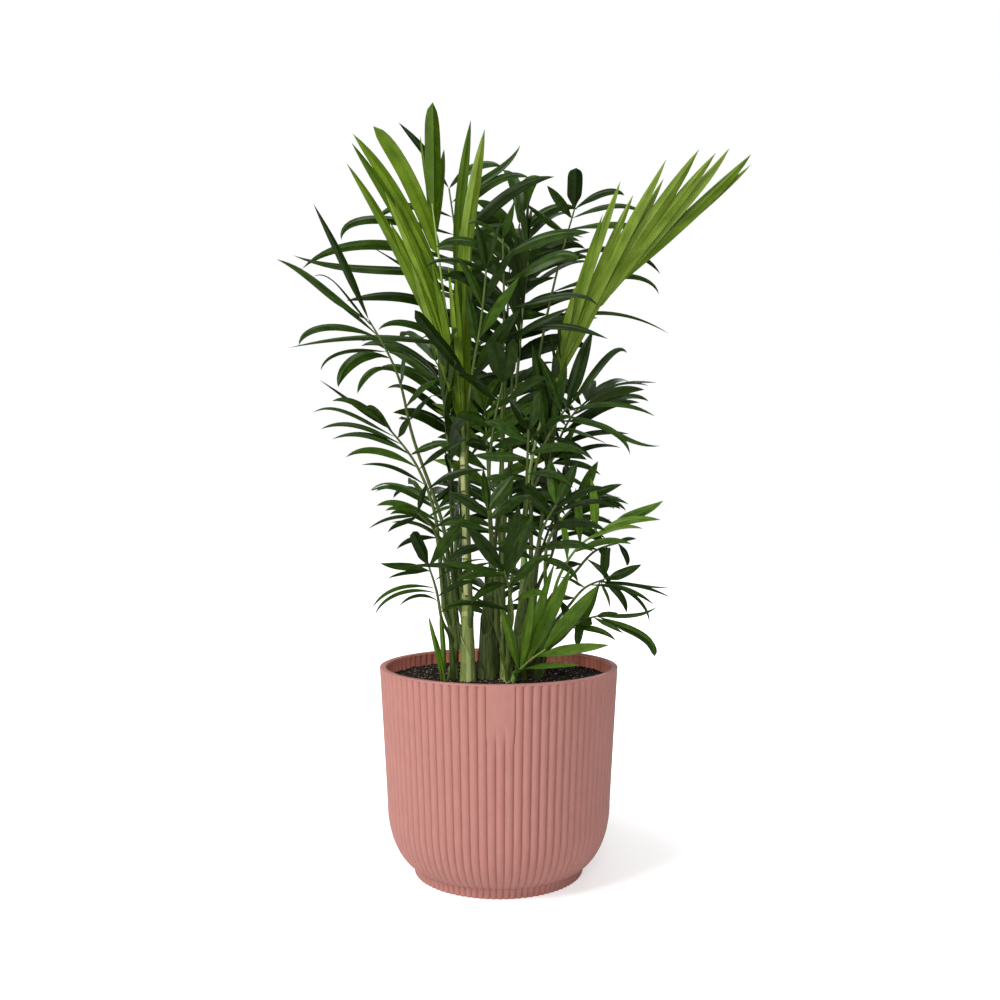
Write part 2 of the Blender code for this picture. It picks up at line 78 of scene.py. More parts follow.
# Soil. Its lumps are waves in a metre, the layer of the noise and the size. Its body narrows by a
# share at each height. Loose bits: their name, their material's name, how many, their sizes, how
# flat they are, their seed, and their dark and light colour.
SOIL_TOP = 0.150
SOIL_EDGE_DROP = 0.002
SOIL_FLAT_RADIUS = 0.055
SOIL_RADIUS = 0.0866
SOIL_SINK = 0.0004
SOIL_LUMPS = ((110, 1.3, 0.0008), (420, 7.1, 0.0006))
SOIL_BODY = ((1, 0.13), (0.97, 0.07), (0.8, 0.025), (0.68, 0.012))
SOIL_RINGS = 64
SOIL_SIDES = 260
COMPOST = ((0.35, (0.003, 0.002, 0.001)), (0.55, (0.012, 0.008, 0.005)), (0.72, (0.045, 0.028, 0.018)))
BITS = (
    ("soil_crumbs", "crumb_dark", 3600, (0.0005, 0.0014), 0.8, 5, (0.004, 0.003, 0.002), (0.024, 0.015, 0.010)),
    ("soil_bark", "crumb_brown", 1200, (0.0004, 0.0012), 0.5, 6, (0.022, 0.012, 0.007), (0.090, 0.052, 0.032)),
    ("soil_flecks", "fleck_pale", 1500, (0.00025, 0.0008), 0.6, 7,
     (0.260, 0.190, 0.150), (0.640, 0.540, 0.460)),
)
BITS_FROM_WALL = 0.0012
BITS_PROUD = 0.2
LUMP_SIZES = (0.6, 1.1)
LUMP_STRETCH = (0.8, 1.3)
LUMP_SHIFT = 0.2
LUMP_CORNERS = ((1, 0, 0), (0, 1, 0), (-1, 0, 0), (0, -1, 0), (0, 0, 1), (0, 0, -1))
LUMP_FACES = ((0, 1, 4), (1, 2, 4), (2, 3, 4), (3, 0, 4), (1, 0, 5), (2, 1, 5), (3, 2, 5), (0, 3, 5))

# Plant
GAP = 0.0003
STEM_LEAN_POWER = 1.4
SHEATH_TAPER = 0.12
SHEATH_FADE = 0.014
STALK_RADIUS = 0.0019
NECK_RADIUS = 0.0012
RIB_END_RADIUS = 0.0007
HUG_LENGTH = 0.022
LAST_PAIR = 0.95
UP = Vector((0, 0, 1))

Stem = namedtuple("Stem", "name foot_xy top foot_radius top_radius sheath")

STEMS = (
    Stem("stem_cane", (-0.023, -0.026), (-0.028, -0.009, 0.330), 0.0055, 0.0026, 0.190),
    Stem("stem_left", (-0.034, -0.016), (-0.039, -0.022, 0.222), 0.0031, 0.0024, 0.200),
    Stem("stem_middle", (-0.009, -0.013), (-0.006, -0.004, 0.230), 0.0066, 0.0030, 0.205),
    Stem("stem_slim", (0.004, -0.024), (0.003, -0.022, 0.210), 0.0026, 0.0020, 0.190),
    Stem("stem_front", (0.007, -0.034), (0.008, -0.038, 0.185), 0.0029, 0.0020, 0.172),
    Stem("stem_right", (0.017, -0.024), (0.019, -0.016, 0.235), 0.0042, 0.0027, 0.205),
    Stem("stem_right_outer", (0.028, -0.014), (0.036, -0.012, 0.195), 0.0034, 0.0022, 0.182),
    Stem("stem_back", (-0.002, 0.010), (0.002, 0.018, 0.240), 0.0045, 0.0028, 0.210),
    Stem("stem_back_left", (-0.024, 0.006), (-0.031, 0.018, 0.225), 0.0038, 0.0024, 0.200),
    Stem("stem_back_right", (0.018, 0.004), (0.026, 0.016, 0.230), 0.0040, 0.0026, 0.205),
    Stem("shoot_left", (-0.041, -0.028), (-0.052, -0.032, 0.203), 0.0026, 0.0008, 0.188),
)

# The first eight values are the solids' own: the angle of a leaflet from the rib at the neck, near
# the end and for the last pair, how far it is raised above the frond's plane, how far its tip
# sinks, the length of the first and last ones as a share of the longest, and where the longest
# stand. Then the number of pairs, a leaflet's width as a share of the longest one's length, its
# rise and droop in degrees, how deeply it folds along its rib, how far it may roll in degrees, the
# form of its end and its shades.
Kind = namedtuple(
    "Kind",
    "open_neck open_end open_tip raised sink first last peak pairs width rise droop fold roll end shades",
)

KINDS = {
    "closed": Kind(8, 13, 4, 50, 0.0, 0.9, 0.9, 0.4, 6, 0.085, 3, 3, 0.6, 12, "sword", "spear"),
    "opening": Kind(10, 44, 6, 55, 0.02, 1.0, 0.7, 0.4, 8, 0.110, 4, 6, 0.5, 14, "sword", "spear"),
    "fan": Kind(8, 14, 7, 38, 0.10, 1.25, 0.85, 0.4, 9, 0.075, 3, 3, 0.5, 12, "sword", "spear"),
    "young": Kind(66, 45, 22, 15, 0.03, 0.85, 0.85, 0.4, 6, 0.160, 14, 16, 0.3, 14, "fine", "fresh"),
    "tall": Kind(82, 48, 30, 8, 0.10, 1.0, 0.5, 0.4, 8, 0.105, 24, 40, 0.3, 14, "fine", "mature"),
    "reaching": Kind(88, 22, 14, 10, 0.08, 0.25, 0.99, 0.95, 6, 0.095, 22, 40, 0.35, 14, "fine", "mature"),
    "slender": Kind(50, 30, 14, 8, 0.02, 0.8, 0.95, 0.5, 8, 0.085, 20, 35, 0.4, 14, "fine", "mature"),
    "mature": Kind(70, 48, 14, 12, 0.10, 0.8, 0.85, 0.4, 8, 0.165, 24, 42, 0.3, 16, "fine", "mature"),
    "low": Kind(72, 40, 16, 8, 0.18, 0.8, 0.8, 0.4, 8, 0.140, 26, 44, 0.35, 16, "fine", "mature"),
}

# How a leaflet ends: its width at the start, how long it stays wide, and how it tapers.
ENDS = {
    "fine": (0.24, 3.0, 1.0),
    "sword": (0.75, 4.6, 0.95),
    "blunt": (0.2, 9.0, 0.6),
    "blade": (0.8, 9.0, 0.75),
    "scale": (1.0, 1.6, 0.8),
}
Form = namedtuple("Form", "rise droop width fold roll end")

Frond = namedtuple("Frond", "name kind stem height side neck middle end faces leaf")

FRONDS = (
    Frond("frond_spear_left", "opening", "stem_cane", 0.330, None,
          (-0.030, -0.008, 0.352), (-0.042, -0.008, 0.440), (-0.052, -0.005, 0.518), 180, 0.112),
    Frond("frond_spear_centre", "closed", "stem_cane", 0.240, 70,
          (-0.027, 0.006, 0.345), (-0.030, 0.008, 0.429), (-0.029, 0.010, 0.500), 0, 0.098),
    Frond("frond_spear_right", "fan", "stem_right", 0.235, None,
          (0.038, 0.008, 0.362), (0.070, 0.014, 0.430), (0.122, 0.022, 0.492), 190, 0.128),
    Frond("frond_tall_left", "tall", "stem_back_left", 0.225, None,
          (-0.025, 0.034, 0.405), (-0.033, 0.045, 0.485), (-0.042, 0.056, 0.550), -90, 0.125),
    Frond("frond_tall_right", "tall", "stem_back_right", 0.230, None,
          (0.034, 0.038, 0.408), (0.048, 0.056, 0.475), (0.065, 0.070, 0.537), -75, 0.100),
    Frond("frond_front_left", "tall", "stem_cane", 0.200, -60,
          (-0.021, -0.028, 0.375), (-0.013, -0.042, 0.420), (-0.009, -0.055, 0.455), -90, 0.105),
    Frond("frond_centre_front", "mature", "stem_slim", 0.210, None,
          (0.003, -0.018, 0.380), (0.004, -0.030, 0.430), (0.003, -0.045, 0.480), -90, 0.072),
    Frond("frond_left", "reaching", "stem_left", 0.222, None,
          (-0.067, -0.022, 0.340), (-0.077, -0.026, 0.382), (-0.098, -0.030, 0.422), -70, 0.092),
    Frond("frond_left_low", "slender", "stem_left", 0.205, -140,
          (-0.050, -0.038, 0.285), (-0.062, -0.046, 0.314), (-0.080, -0.055, 0.338), -80, 0.070),
    Frond("frond_left_thin", "low", "stem_left", 0.175, -60,
          (-0.041, -0.045, 0.245), (-0.048, -0.056, 0.266), (-0.058, -0.066, 0.276), -60, 0.042),
    Frond("frond_left_lowest", "low", "stem_left", 0.158, -100,
          (-0.042, -0.050, 0.200), (-0.045, -0.058, 0.220), (-0.050, -0.066, 0.238), -80, 0.052),
    Frond("frond_right", "mature", "stem_right", 0.210, 20,
          (0.033, -0.012, 0.325), (0.042, -0.016, 0.342), (0.052, -0.020, 0.357), -90, 0.084),
    Frond("frond_centre", "mature", "stem_slim", 0.190, 180,
          (-0.006, -0.034, 0.325), (-0.002, -0.042, 0.350), (0.003, -0.050, 0.372), -90, 0.045),
    Frond("frond_right_upper", "mature", "stem_right", 0.190, 60,
          (0.026, 0.002, 0.292), (0.034, 0.006, 0.308), (0.044, 0.010, 0.320), -80, 0.052),
    Frond("frond_right_inner", "mature", "stem_right_outer", 0.195, None,
          (0.040, -0.008, 0.258), (0.050, -0.004, 0.272), (0.061, 0.000, 0.283), -80, 0.050),
    Frond("frond_right_bright", "young", "stem_right_outer", 0.178, -70,
          (0.047, -0.022, 0.230), (0.062, -0.024, 0.252), (0.083, -0.026, 0.265), -100, 0.048),
    Frond("frond_right_arching", "low", "stem_right_outer", 0.184, 100,
          (0.060, 0.014, 0.228), (0.078, 0.019, 0.246), (0.096, 0.022, 0.252), -100, 0.042),
    Frond("frond_right_low", "low", "stem_right_outer", 0.162, 25,
          (0.055, -0.002, 0.204), (0.068, 0.000, 0.218), (0.083, 0.003, 0.224), -110, 0.058),
    Frond("frond_right_lowest", "low", "stem_right_outer", 0.154, -25,
          (0.048, -0.028, 0.182), (0.060, -0.030, 0.194), (0.074, -0.032, 0.199), -120, 0.052),
    Frond("frond_front_young", "young", "stem_front", 0.153, -40,
          (0.015, -0.045, 0.160), (0.022, -0.052, 0.168), (0.034, -0.060, 0.178), -85, 0.072),
    Frond("frond_front_low", "mature", "stem_front", 0.165, -95,
          (0.010, -0.062, 0.202), (0.008, -0.074, 0.220), (0.004, -0.088, 0.236), -90, 0.060),
    Frond("frond_front_right", "mature", "stem_front", 0.172, 20,
          (0.026, -0.052, 0.242), (0.032, -0.068, 0.266), (0.040, -0.086, 0.282), -80, 0.050),
    Frond("frond_front_high", "mature", "stem_front", 0.185, None,
          (0.019, -0.064, 0.282), (0.020, -0.088, 0.312), (0.020, -0.116, 0.332), -90, 0.048),
    Frond("frond_front_centre", "mature", "stem_front", 0.174, 190,
          (-0.004, -0.052, 0.238), (-0.006, -0.072, 0.262), (-0.007, -0.094, 0.278), -95, 0.042),
    Frond("frond_back_top", "mature", "stem_back", 0.228, 0,
          (0.012, 0.058, 0.425), (0.014, 0.070, 0.478), (0.018, 0.084, 0.528), -90, 0.072),
    Frond("frond_back_high", "mature", "stem_back", 0.240, None,
          (0.006, 0.058, 0.400), (0.008, 0.088, 0.460), (0.010, 0.124, 0.500), -90, 0.100),
    Frond("frond_back_middle", "mature", "stem_back", 0.210, 150,
          (0.002, 0.056, 0.325), (0.002, 0.092, 0.372), (0.002, 0.132, 0.395), -90, 0.074),
    Frond("frond_back_left_high", "mature", "stem_back_left", 0.205, 120,
          (-0.034, 0.066, 0.340), (-0.046, 0.096, 0.390), (-0.058, 0.130, 0.415), -70, 0.088),
    Frond("frond_back_right_high", "mature", "stem_back_right", 0.210, 40,
          (0.044, 0.064, 0.318), (0.062, 0.092, 0.358), (0.080, 0.124, 0.378), -115, 0.082),
    Frond("frond_back_left_low", "low", "stem_back_left", 0.175, 170,
          (-0.044, 0.062, 0.250), (-0.054, 0.090, 0.282), (-0.068, 0.118, 0.292), -60, 0.070),
    Frond("frond_back_low", "low", "stem_back", 0.190, 60,
          (0.000, 0.066, 0.262), (0.000, 0.096, 0.290), (0.000, 0.130, 0.298), -90, 0.068),
    Frond("frond_back_right_low", "low", "stem_back_right", 0.175, 80,
          (0.036, 0.056, 0.245), (0.050, 0.084, 0.274), (0.064, 0.112, 0.282), -120, 0.068),
    Frond("frond_back_lowest", "low", "stem_back", 0.160, 120,
          (-0.008, 0.050, 0.190), (-0.010, 0.074, 0.208), (-0.012, 0.096, 0.212), -90, 0.050),
    Frond("frond_back_bright", "young", "stem_middle", 0.230, None,
          (-0.008, 0.020, 0.300), (-0.010, 0.036, 0.335), (-0.012, 0.056, 0.362), -90, 0.060),
    Frond("frond_side_right_top", "mature", "stem_back", 0.220, -80,
          (0.016, 0.022, 0.400), (0.020, 0.028, 0.445), (0.024, 0.034, 0.482), 180, 0.072),
    Frond("frond_side_right_high", "mature", "stem_back_right", 0.222, -60,
          (0.040, 0.024, 0.300), (0.046, 0.028, 0.345), (0.052, 0.032, 0.385), 180, 0.082),
    Frond("frond_side_right_low", "low", "stem_back_right", 0.190, -10,
          (0.044, 0.030, 0.245), (0.050, 0.034, 0.280), (0.056, 0.038, 0.308), 180, 0.062),
    Frond("frond_side_left_high", "mature", "stem_back_left", 0.210, 200,
          (-0.038, 0.012, 0.300), (-0.042, 0.014, 0.345), (-0.046, 0.016, 0.385), 0, 0.080),
    Frond("frond_side_left_low", "low", "stem_back_left", 0.190, -60,
          (-0.032, 0.000, 0.238), (-0.035, 0.001, 0.266), (-0.038, 0.002, 0.290), 0, 0.052),
    Frond("frond_side_left_lowest", "low", "stem_back_left", 0.168, -120,
          (-0.040, 0.006, 0.200), (-0.044, 0.007, 0.220), (-0.047, 0.008, 0.235), 0, 0.040),
)

# Where the camera stands
EYE = Vector((0.001, -0.774, 0.278))

# Leaflets of the fronds that show from the front, one by one. Each starts at a share of the way up
# the leafy rib. Its tip is given in mm: how far right of the pot's axis and how high it looks from
# the front, and how far behind the axis it is. Then come the angles, in degrees, at which it leaves
# above and arrives below the straight line to its tip, its width in mm, and the form of its end
# where that isn't its kind's own.
SEEN = {
    "frond_spear_left": (
        (0.92, -52, 600, -6, 0, 0, 12, "blade"), (0.74, -99, 581, -12, 8, 14, 11.5, "blade"),
        (0.60, -115, 575, -14, 6, 10, 9), (0.48, -116, 568, -16, 4, 6, 7.5), (0.22, -120, 552, -18, 2, 8, 8),
        (0.08, -76, 487, -12, 0, 4, 7), (0.02, -69, 474, -14, 0, 3, 7), (0.12, -58, 460, -10, 0, 2, 6.5),
        (0.30, -66, 500, -8, 0, 2, 7), (0.80, -62, 574, 0, 0, 0, 3.5), (0.85, -43, 563, 4, 0, 0, 5.5),
        (0.95, -47, 560, 2, 0, 0, 7), (-0.25, -86, 506, -14, 9, 9, 8.5), (-0.90, -47, 452, -15, 0, 0, 6),
        (-0.90, -40, 472, -17, 0, 0, 5.5), (-0.85, -34, 462, -18, 0, 0, 5.5), (-0.70, -53, 476, -14, 3, 3, 6),
        (-0.20, -70, 488, -10, 8, 8, 8), (-0.15, -60, 478, -4, 5, 6, 8), (0.05, -82, 522, -14, 6, 6, 8),
        (0.20, -90, 530, -16, 5, 6, 7.5),
    ),
    "frond_spear_centre": (
        (0.50, -22, 586, 4, 9, 8, 9), (0.40, -11, 579, 2, 8, 5, 10.5), (0.10, -27, 492, 0, 2, 2, 6),
        (0.00, -33, 472, 0, 0, 0, 5.5), (0.20, -24, 500, -4, 2, 2, 6), (0.05, -30, 520, 10, 0, 0, 6),
        (-0.20, -26, 470, -6, 0, 0, 7), (-0.15, -35, 458, 4, 0, 0, 6.5), (-0.10, -22, 500, -2, 3, 3, 7),
        (0.00, -31, 500, 4, 0, 0, 7),
    ),
    "frond_spear_right": (
        (0.00, 70, 470, 8, 2, 2, 7), (0.02, 60, 455, 4, 0, 0, 6), (0.05, 82, 512, 6, 3, 3, 6),
        (0.10, 96, 538, 4, 3, 3, 8.5), (0.12, 110, 505, 16, 0, 0, 7), (0.22, 106, 527, 8, 2, 2, 7.5),
        (0.30, 132, 555, 4, 4, 2, 9.5), (0.34, 130, 540, 12, 0, 0, 8), (0.42, 158, 563, 6, 4, 0, 10),
        (0.46, 153, 552, 14, 2, 0, 7), (0.55, 171, 560, 8, 3, 0, 9.5), (0.62, 182, 564, 12, 3, -3, 10),
        (0.74, 199, 559, 14, 0, -4, 10), (0.78, 199, 551, 20, 0, 0, 8),
    ),
    "frond_tall_left": (
        (1.00, -79, 584, 45, 10, 10, 8), (1.00, 2, 549, 45, 40, 50, 10), (0.90, 17, 566, 40, 5, -25, 8),
        (0.80, 24, 540, 38, 25, 55, 8), (0.66, 44, 541, 34, 8, 30, 10), (0.55, 8, 503, 32, 30, 30, 8),
        (0.40, 3, 476, 30, 20, 25, 9), (0.20, -9, 461, 26, 10, 20, 8), (0.80, -96, 505, 25, 30, 60, 6),
        (0.68, -124, 491, 22, 22, 85, 8.5), (0.50, -155, 468, 15, 22, 40, 7.5),
        (0.42, -162, 479, 12, 4, -14, 7), (0.32, -100, 486, 8, -4, -4, 11), (0.16, -120, 443, 5, 30, 25, 10),
        (0.04, -165, 406, 2, 12, 14, 5.5), (0.00, -95, 420, 8, 22, 60, 6.5),
    ),
    "frond_tall_right": (
        (1.00, 61, 548, 60, 0, 0, 13, "blunt"), (1.00, 99, 526, 62, 25, 60, 6.5),
        (0.93, 115, 511, 66, 24, 45, 5.5), (0.85, 125, 488, 68, 20, 50, 6.5), (0.65, 127, 464, 62, 30, 50, 6),
        (0.40, 126, 448, 56, 25, 75, 8), (0.20, 134, 417, 50, 25, 28, 5.5), (0.93, 38, 534, 55, 6, 4, 8),
        (0.82, 19, 522, 50, -4, -4, 9), (0.70, 8, 461, 45, 20, 20, 11), (0.50, 0, 440, 38, 20, 20, 9),
        (0.25, 2, 425, 34, 15, 20, 8),
    ),
    "frond_centre_front": (
        (1.00, 12, 522, -55, 5, -5, 7.5), (1.00, -24, 503, -50, 25, 85, 5.5),
        (0.86, -49, 485, -52, 30, 50, 7), (0.71, -58, 469, -50, 25, 55, 5),
        (0.55, -43, 461, -50, 10, 60, 7.5), (0.43, -20, 444, -45, 5, 20, 5.5),
        (0.86, 72, 497, -50, 18, 20, 9), (0.69, 64, 476, -60, 10, 50, 10.5), (0.50, 78, 439, -58, 12, 50, 5),
        (0.30, 86, 413, -56, 25, 22, 5.5), (0.22, 56, 438, -50, 18, 6, 7),
    ),
    "frond_front_left": (
        (0.00, -66, 436, -62, 4, -4, 9, "blunt"), (0.00, 17, 437, -60, 8, 8, 10.5),
        (0.30, -26, 452, -50, 0, 10, 7), (0.35, 16, 462, -54, 8, 0, 8.5), (0.62, -33, 478, -52, 10, 15, 6),
        (0.65, 14, 486, -56, 8, 10, 6.5), (1.00, -18, 506, -58, 5, 5, 6), (1.00, 2, 508, -60, 5, 5, 6),
        (-0.12, 36, 374, -60, 20, 20, 4), (-0.20, 30, 366, -58, 20, 10, 4.5),
    ),
    "frond_left": (
        (1.00, -146, 520, -28, 3, 3, 6), (1.00, -175, 476, -36, -8, 14, 5.5),
        (0.93, -146, 462, -44, 8, 75, 5), (0.84, -157, 470, -30, 4, -6, 3.5),
        (0.82, -157, 408, -50, 35, 75, 6.5), (0.70, -140, 388, -48, 25, 60, 4.5),
        (0.64, -126, 375, -60, 50, 60, 9), (0.50, -111, 370, -66, 50, 50, 6),
        (0.70, -46, 381, -40, 22, -10, 5), (0.40, -74, 404, -64, 20, 10, 12),
        (0.20, -48, 381, -52, 25, 15, 9), (0.10, -78, 350, -60, -10, 20, 5.5),
        (0.08, -52, 369, -40, 10, 10, 6.5),
    ),
    "frond_left_low": (
        (1.00, -141, 381, -58, -2, 4, 4), (1.00, -131, 364, -70, 20, 50, 5),
        (0.92, -105, 357, -80, 25, 65, 7), (0.86, -146, 355, -64, 10, 50, 3),
        (0.75, -140, 342, -60, 20, 40, 5), (0.60, -131, 334, -60, 25, 40, 5),
        (0.42, -120, 320, -60, 25, 45, 5), (0.20, -108, 314, -54, 20, 30, 4.5),
        (0.85, -70, 351, -60, 5, 10, 6), (0.60, -38, 331, -56, 10, 20, 5), (0.40, -24, 335, -50, 15, 10, 5),
        (0.15, -11, 310, -50, 20, 20, 5),
    ),
    "frond_left_thin": (
        (1.00, -89, 278, -80, 20, 35, 4), (0.90, -102, 264, -74, 18, 25, 3.5),
        (0.95, -87, 261, -78, -5, 25, 3.5), (0.30, -80, 248, -70, 20, 30, 4),
        (1.00, -56, 300, -80, 10, 10, 4), (0.80, -30, 281, -78, 15, 25, 4), (0.50, -22, 268, -74, 15, 25, 4),
        (0.20, -24, 256, -66, 15, 25, 4),
    ),
    "frond_left_lowest": (
        (1.00, -67, 262, -80, 4, -4, 8, "blunt"), (1.00, -26, 276, -82, 4, -6, 8),
        (0.90, -93, 237, -84, 12, -6, 5.5), (0.92, -87, 225, -84, 5, 15, 3), (0.55, -99, 202, -84, 30, 45, 3),
        (0.45, -97, 196, -80, 35, 55, 2.6), (0.30, -78, 203, -76, 40, 45, 2.4),
        (0.70, -10, 240, -78, 15, 25, 5), (0.40, -18, 222, -74, 15, 25, 4.5),
        (0.10, -20, 206, -70, 15, 25, 4),
    ),
    "frond_right": (
        (1.00, 74, 420, -20, 0, 6, 10), (1.00, 101, 402, -26, 6, 95, 6.5), (0.90, 123, 352, -30, 20, 28, 4),
        (0.65, 103, 322, -40, 30, 55, 4.5), (0.72, 127, 329, -46, 28, -20, 4.5),
        (0.50, 85, 331, -44, 15, 5, 5), (0.30, 74, 318, -40, 15, 15, 6), (0.85, 32, 400, -26, 5, 5, 8.5),
        (0.50, 53, 397, -24, 5, -5, 7), (0.25, 26, 410, -22, 0, 10, 11), (0.05, 10, 360, -40, 10, 30, 8),
    ),
    "frond_centre": (
        (1.00, -5, 411, -58, 0, 5, 12, "blunt"), (1.00, 12, 413, -62, 0, 5, 13, "blunt"),
        (0.70, -33, 385, -66, 10, 30, 9), (0.60, 38, 382, -70, 10, 30, 10), (0.30, -34, 352, -60, 15, 30, 9),
        (0.20, 34, 350, -62, 15, 30, 9), (0.00, -26, 330, -56, 15, 20, 8), (0.00, 24, 332, -56, 15, 20, 8),
    ),
    "frond_right_upper": (
        (1.00, 51, 331, 4, 0, 4, 8.5), (1.00, 69, 318, 0, 25, 30, 5.5), (0.80, 80, 306, -4, 20, 30, 5),
        (0.50, 72, 292, -8, 20, 30, 5), (0.20, 64, 283, -8, 20, 30, 5), (0.80, 22, 330, 4, 10, 20, 6),
        (0.50, 10, 320, 4, 10, 20, 6), (0.20, 6, 305, 0, 10, 20, 5),
    ),
    "frond_right_inner": (
        (1.00, 78, 317, -8, 0, 4, 8), (1.00, 97, 299, -12, 8, 8, 6.5), (0.85, 102, 283, -16, 25, 35, 4),
        (0.70, 91, 281, -20, 30, 95, 4), (0.45, 92, 266, -18, 20, 30, 4.5), (0.20, 84, 256, -16, 20, 30, 4.5),
        (0.85, 45, 312, -10, 10, 10, 6), (0.60, 30, 300, -12, 10, 20, 5), (0.30, 24, 284, -14, 15, 25, 5),
    ),
    "frond_right_bright": (
        (1.00, 129, 286, -30, 8, -8, 7.5), (1.00, 120, 279, -36, 5, 5, 6), (0.80, 127, 271, -40, 20, 20, 5.5),
        (0.60, 113, 264, -42, 20, 30, 5), (0.35, 104, 252, -40, 20, 30, 5), (0.80, 72, 304, -28, 0, 10, 6.5),
        (0.50, 60, 296, -26, 0, 10, 6), (0.20, 46, 276, -26, 10, 20, 5),
    ),
    "frond_right_arching": (
        (1.00, 100, 235, 14, 30, 90, 4.5), (0.75, 81, 243, 8, 30, 70, 7), (0.95, 108, 256, 20, 20, 25, 4),
        (0.85, 52, 267, 14, 5, 10, 5), (0.55, 48, 250, 8, 10, 20, 5), (0.30, 88, 216, 4, 25, 40, 4.5),
        (0.20, 44, 232, 4, 10, 20, 5),
    ),
    "frond_right_low": (
        (1.00, 85, 249, -8, 5, 50, 7, "blunt"), (1.00, 112, 236, -6, -8, -4, 7),
        (0.85, 134, 218, 4, 6, -6, 3), (0.80, 135, 210, -8, 12, 16, 3), (0.92, 118, 190, -4, 30, 50, 3),
        (0.95, 100, 198, -14, 25, 45, 5.5), (0.90, 87, 202, -14, 10, 40, 3), (0.90, 62, 171, -28, 10, 50, 8),
        (0.60, 122, 204, -12, 20, 25, 3.5), (0.50, 48, 226, -10, 10, 20, 5.5),
        (0.20, 40, 208, -14, 10, 20, 5),
    ),
    "frond_right_lowest": (
        (1.00, 124, 203, -36, -6, -28, 3.5), (1.00, 122, 164, -34, 12, 60, 5.5, "blunt"),
        (0.96, 121, 167, -42, 18, 80, 3), (0.90, 98, 182, -40, 5, 5, 4.5), (0.95, 94, 198, -28, 8, 8, 4),
        (0.85, 66, 188, -40, 10, 30, 9), (0.60, 62, 171, -42, 25, 50, 6), (0.30, 48, 208, -34, 10, 10, 6),
        (0.30, 92, 176, -36, 20, 30, 4.5),
    ),
    "frond_front_young": (
        (0.00, 0, 207, -60, 3, 8, 6.5), (0.06, 27, 219, -66, 2, -4, 8.5), (0.50, 56, 233, -60, 4, -4, 9.5),
        (0.92, 78, 220, -66, 0, -4, 11), (0.70, 87, 173, -52, 6, 4, 7.5), (0.12, 64, 157, -58, 8, 6, 4),
        (0.30, 44, 238, -50, 4, 4, 6.5), (0.10, 12, 150, -70, 10, 6, 4),
    ),
    "frond_front_low": (
        (1.00, 16, 283, -98, 0, -6, 9), (0.96, -26, 266, -104, 0, 10, 9), (0.85, 27, 276, -100, 0, -4, 8.5),
        (1.00, -73, 235, -84, 8, 6, 4.5), (0.92, -45, 237, -94, 4, 10, 6), (0.88, -34, 223, -104, 22, 20, 6),
        (0.70, -22, 205, -102, 25, 25, 5.5), (0.10, -43, 202, -90, 20, 20, 5.5),
        (0.60, 42, 244, -98, 12, 20, 6.5), (0.30, 38, 212, -92, 20, 30, 6),
    ),
    "frond_front_high": (
        (1.00, 32, 372, -147, 0, 4, 9), (1.00, 8, 366, -143, 5, 4, 9), (0.85, 58, 352, -130, 10, 30, 7),
        (0.80, -12, 348, -100, 10, 25, 7.5), (0.60, 66, 322, -96, 25, 45, 6), (0.55, -20, 322, -92, 5, -5, 7),
        (0.35, 58, 296, -88, 30, 50, 5.5), (0.30, -16, 300, -84, 10, 30, 6), (0.10, 52, 284, -76, 20, 20, 6),
        (0.05, -8, 268, -74, 25, 45, 5),
    ),
    "frond_front_right": (
        (1.00, 62, 316, -84, 0, 0, 8), (1.00, 40, 320, -80, 4, 0, 8), (0.90, 84, 296, -80, 12, 30, 5.5),
        (0.75, 91, 279, -76, 25, 60, 4.5), (0.80, 14, 304, -74, 4, 4, 8), (0.50, 84, 262, -72, 15, 35, 6),
        (0.45, 2, 276, -68, 8, 16, 7), (0.20, 74, 246, -66, 10, 40, 6.5), (0.15, -4, 252, -62, 15, 20, 6),
        (0.05, 62, 222, -60, 20, 45, 5),
    ),
    "frond_front_centre": (
        (1.00, 12, 306, -92, 0, 0, 9.5), (1.00, -12, 312, -90, 2, 0, 7), (0.85, -40, 292, -86, 6, 20, 7),
        (0.80, 26, 290, -84, 6, 20, 7), (0.55, -46, 266, -80, 15, 35, 6), (0.60, 28, 262, -80, 10, 10, 7),
        (0.30, -42, 236, -74, 20, 30, 6), (0.25, 26, 240, -72, 15, 25, 6), (0.05, -32, 222, -66, 25, 45, 5.5),
        (0.00, 20, 224, -64, 20, 30, 5.5),
    ),
}

# A leaflet is folded and turned, so it looks narrower than it is.
SEEN_WIDENING = 1.12

# Stems: rings of the bare canes (heights), the rows of one ring (rise, swell, material), the
# compass side where the outer sheath's edges meet, the sheaths (scale, rise above the stem's own,
# least way below its top, notch, turn), and the blades of the shoot (where a tip looks to be, how
# far behind the axis it is, width; mm), how far apart they start and which way they face. A form's
# values are its fold, its roll and its end.
RINGS = {"stem_cane": (0.2135, 0.2265, 0.2415, 0.2510, 0.2700, 0.2930, 0.3130), "stem_slim": (0.1935, 0.2020)}
RING_ROWS = ((-0.0020, 1.0, 2), (-0.0009, 1.03, 1), (-0.0004, 1.12, 1), (0.0003, 1.12, 0), (0.0009, 1.0, 0))
CANE_ROWS = 36
CANE_SIDES = 16
RING_CLEAR = 0.0022
RING_MARGIN = 0.008
RING_SPACING = (0.012, 0.026)
CANE_SUNK = 0.004
CANE_END = 0.02
Wrap = namedtuple("Wrap", "scale top notch turn")
WRAPS = (
    (1.00, -0.006, 0.000, 0.016, 0),
    (0.88, 0.012, 0.006, 0.022, 150),
    (0.76, 0.026, 0.002, 0.018, 30),
)
WRAP_INSIDE = 0.86
WRAP_ROOM = 1.1
WRAP_FACES = {"stem_cane": -60, "stem_left": -30, "stem_middle": -110, "stem_right": -120, "stem_slim": -80}
SHEATH_COLUMNS = 36
SHEATH_ROWS = 16
SHEATH_LAP = 0.12
SHEATH_SUNK = 0.003
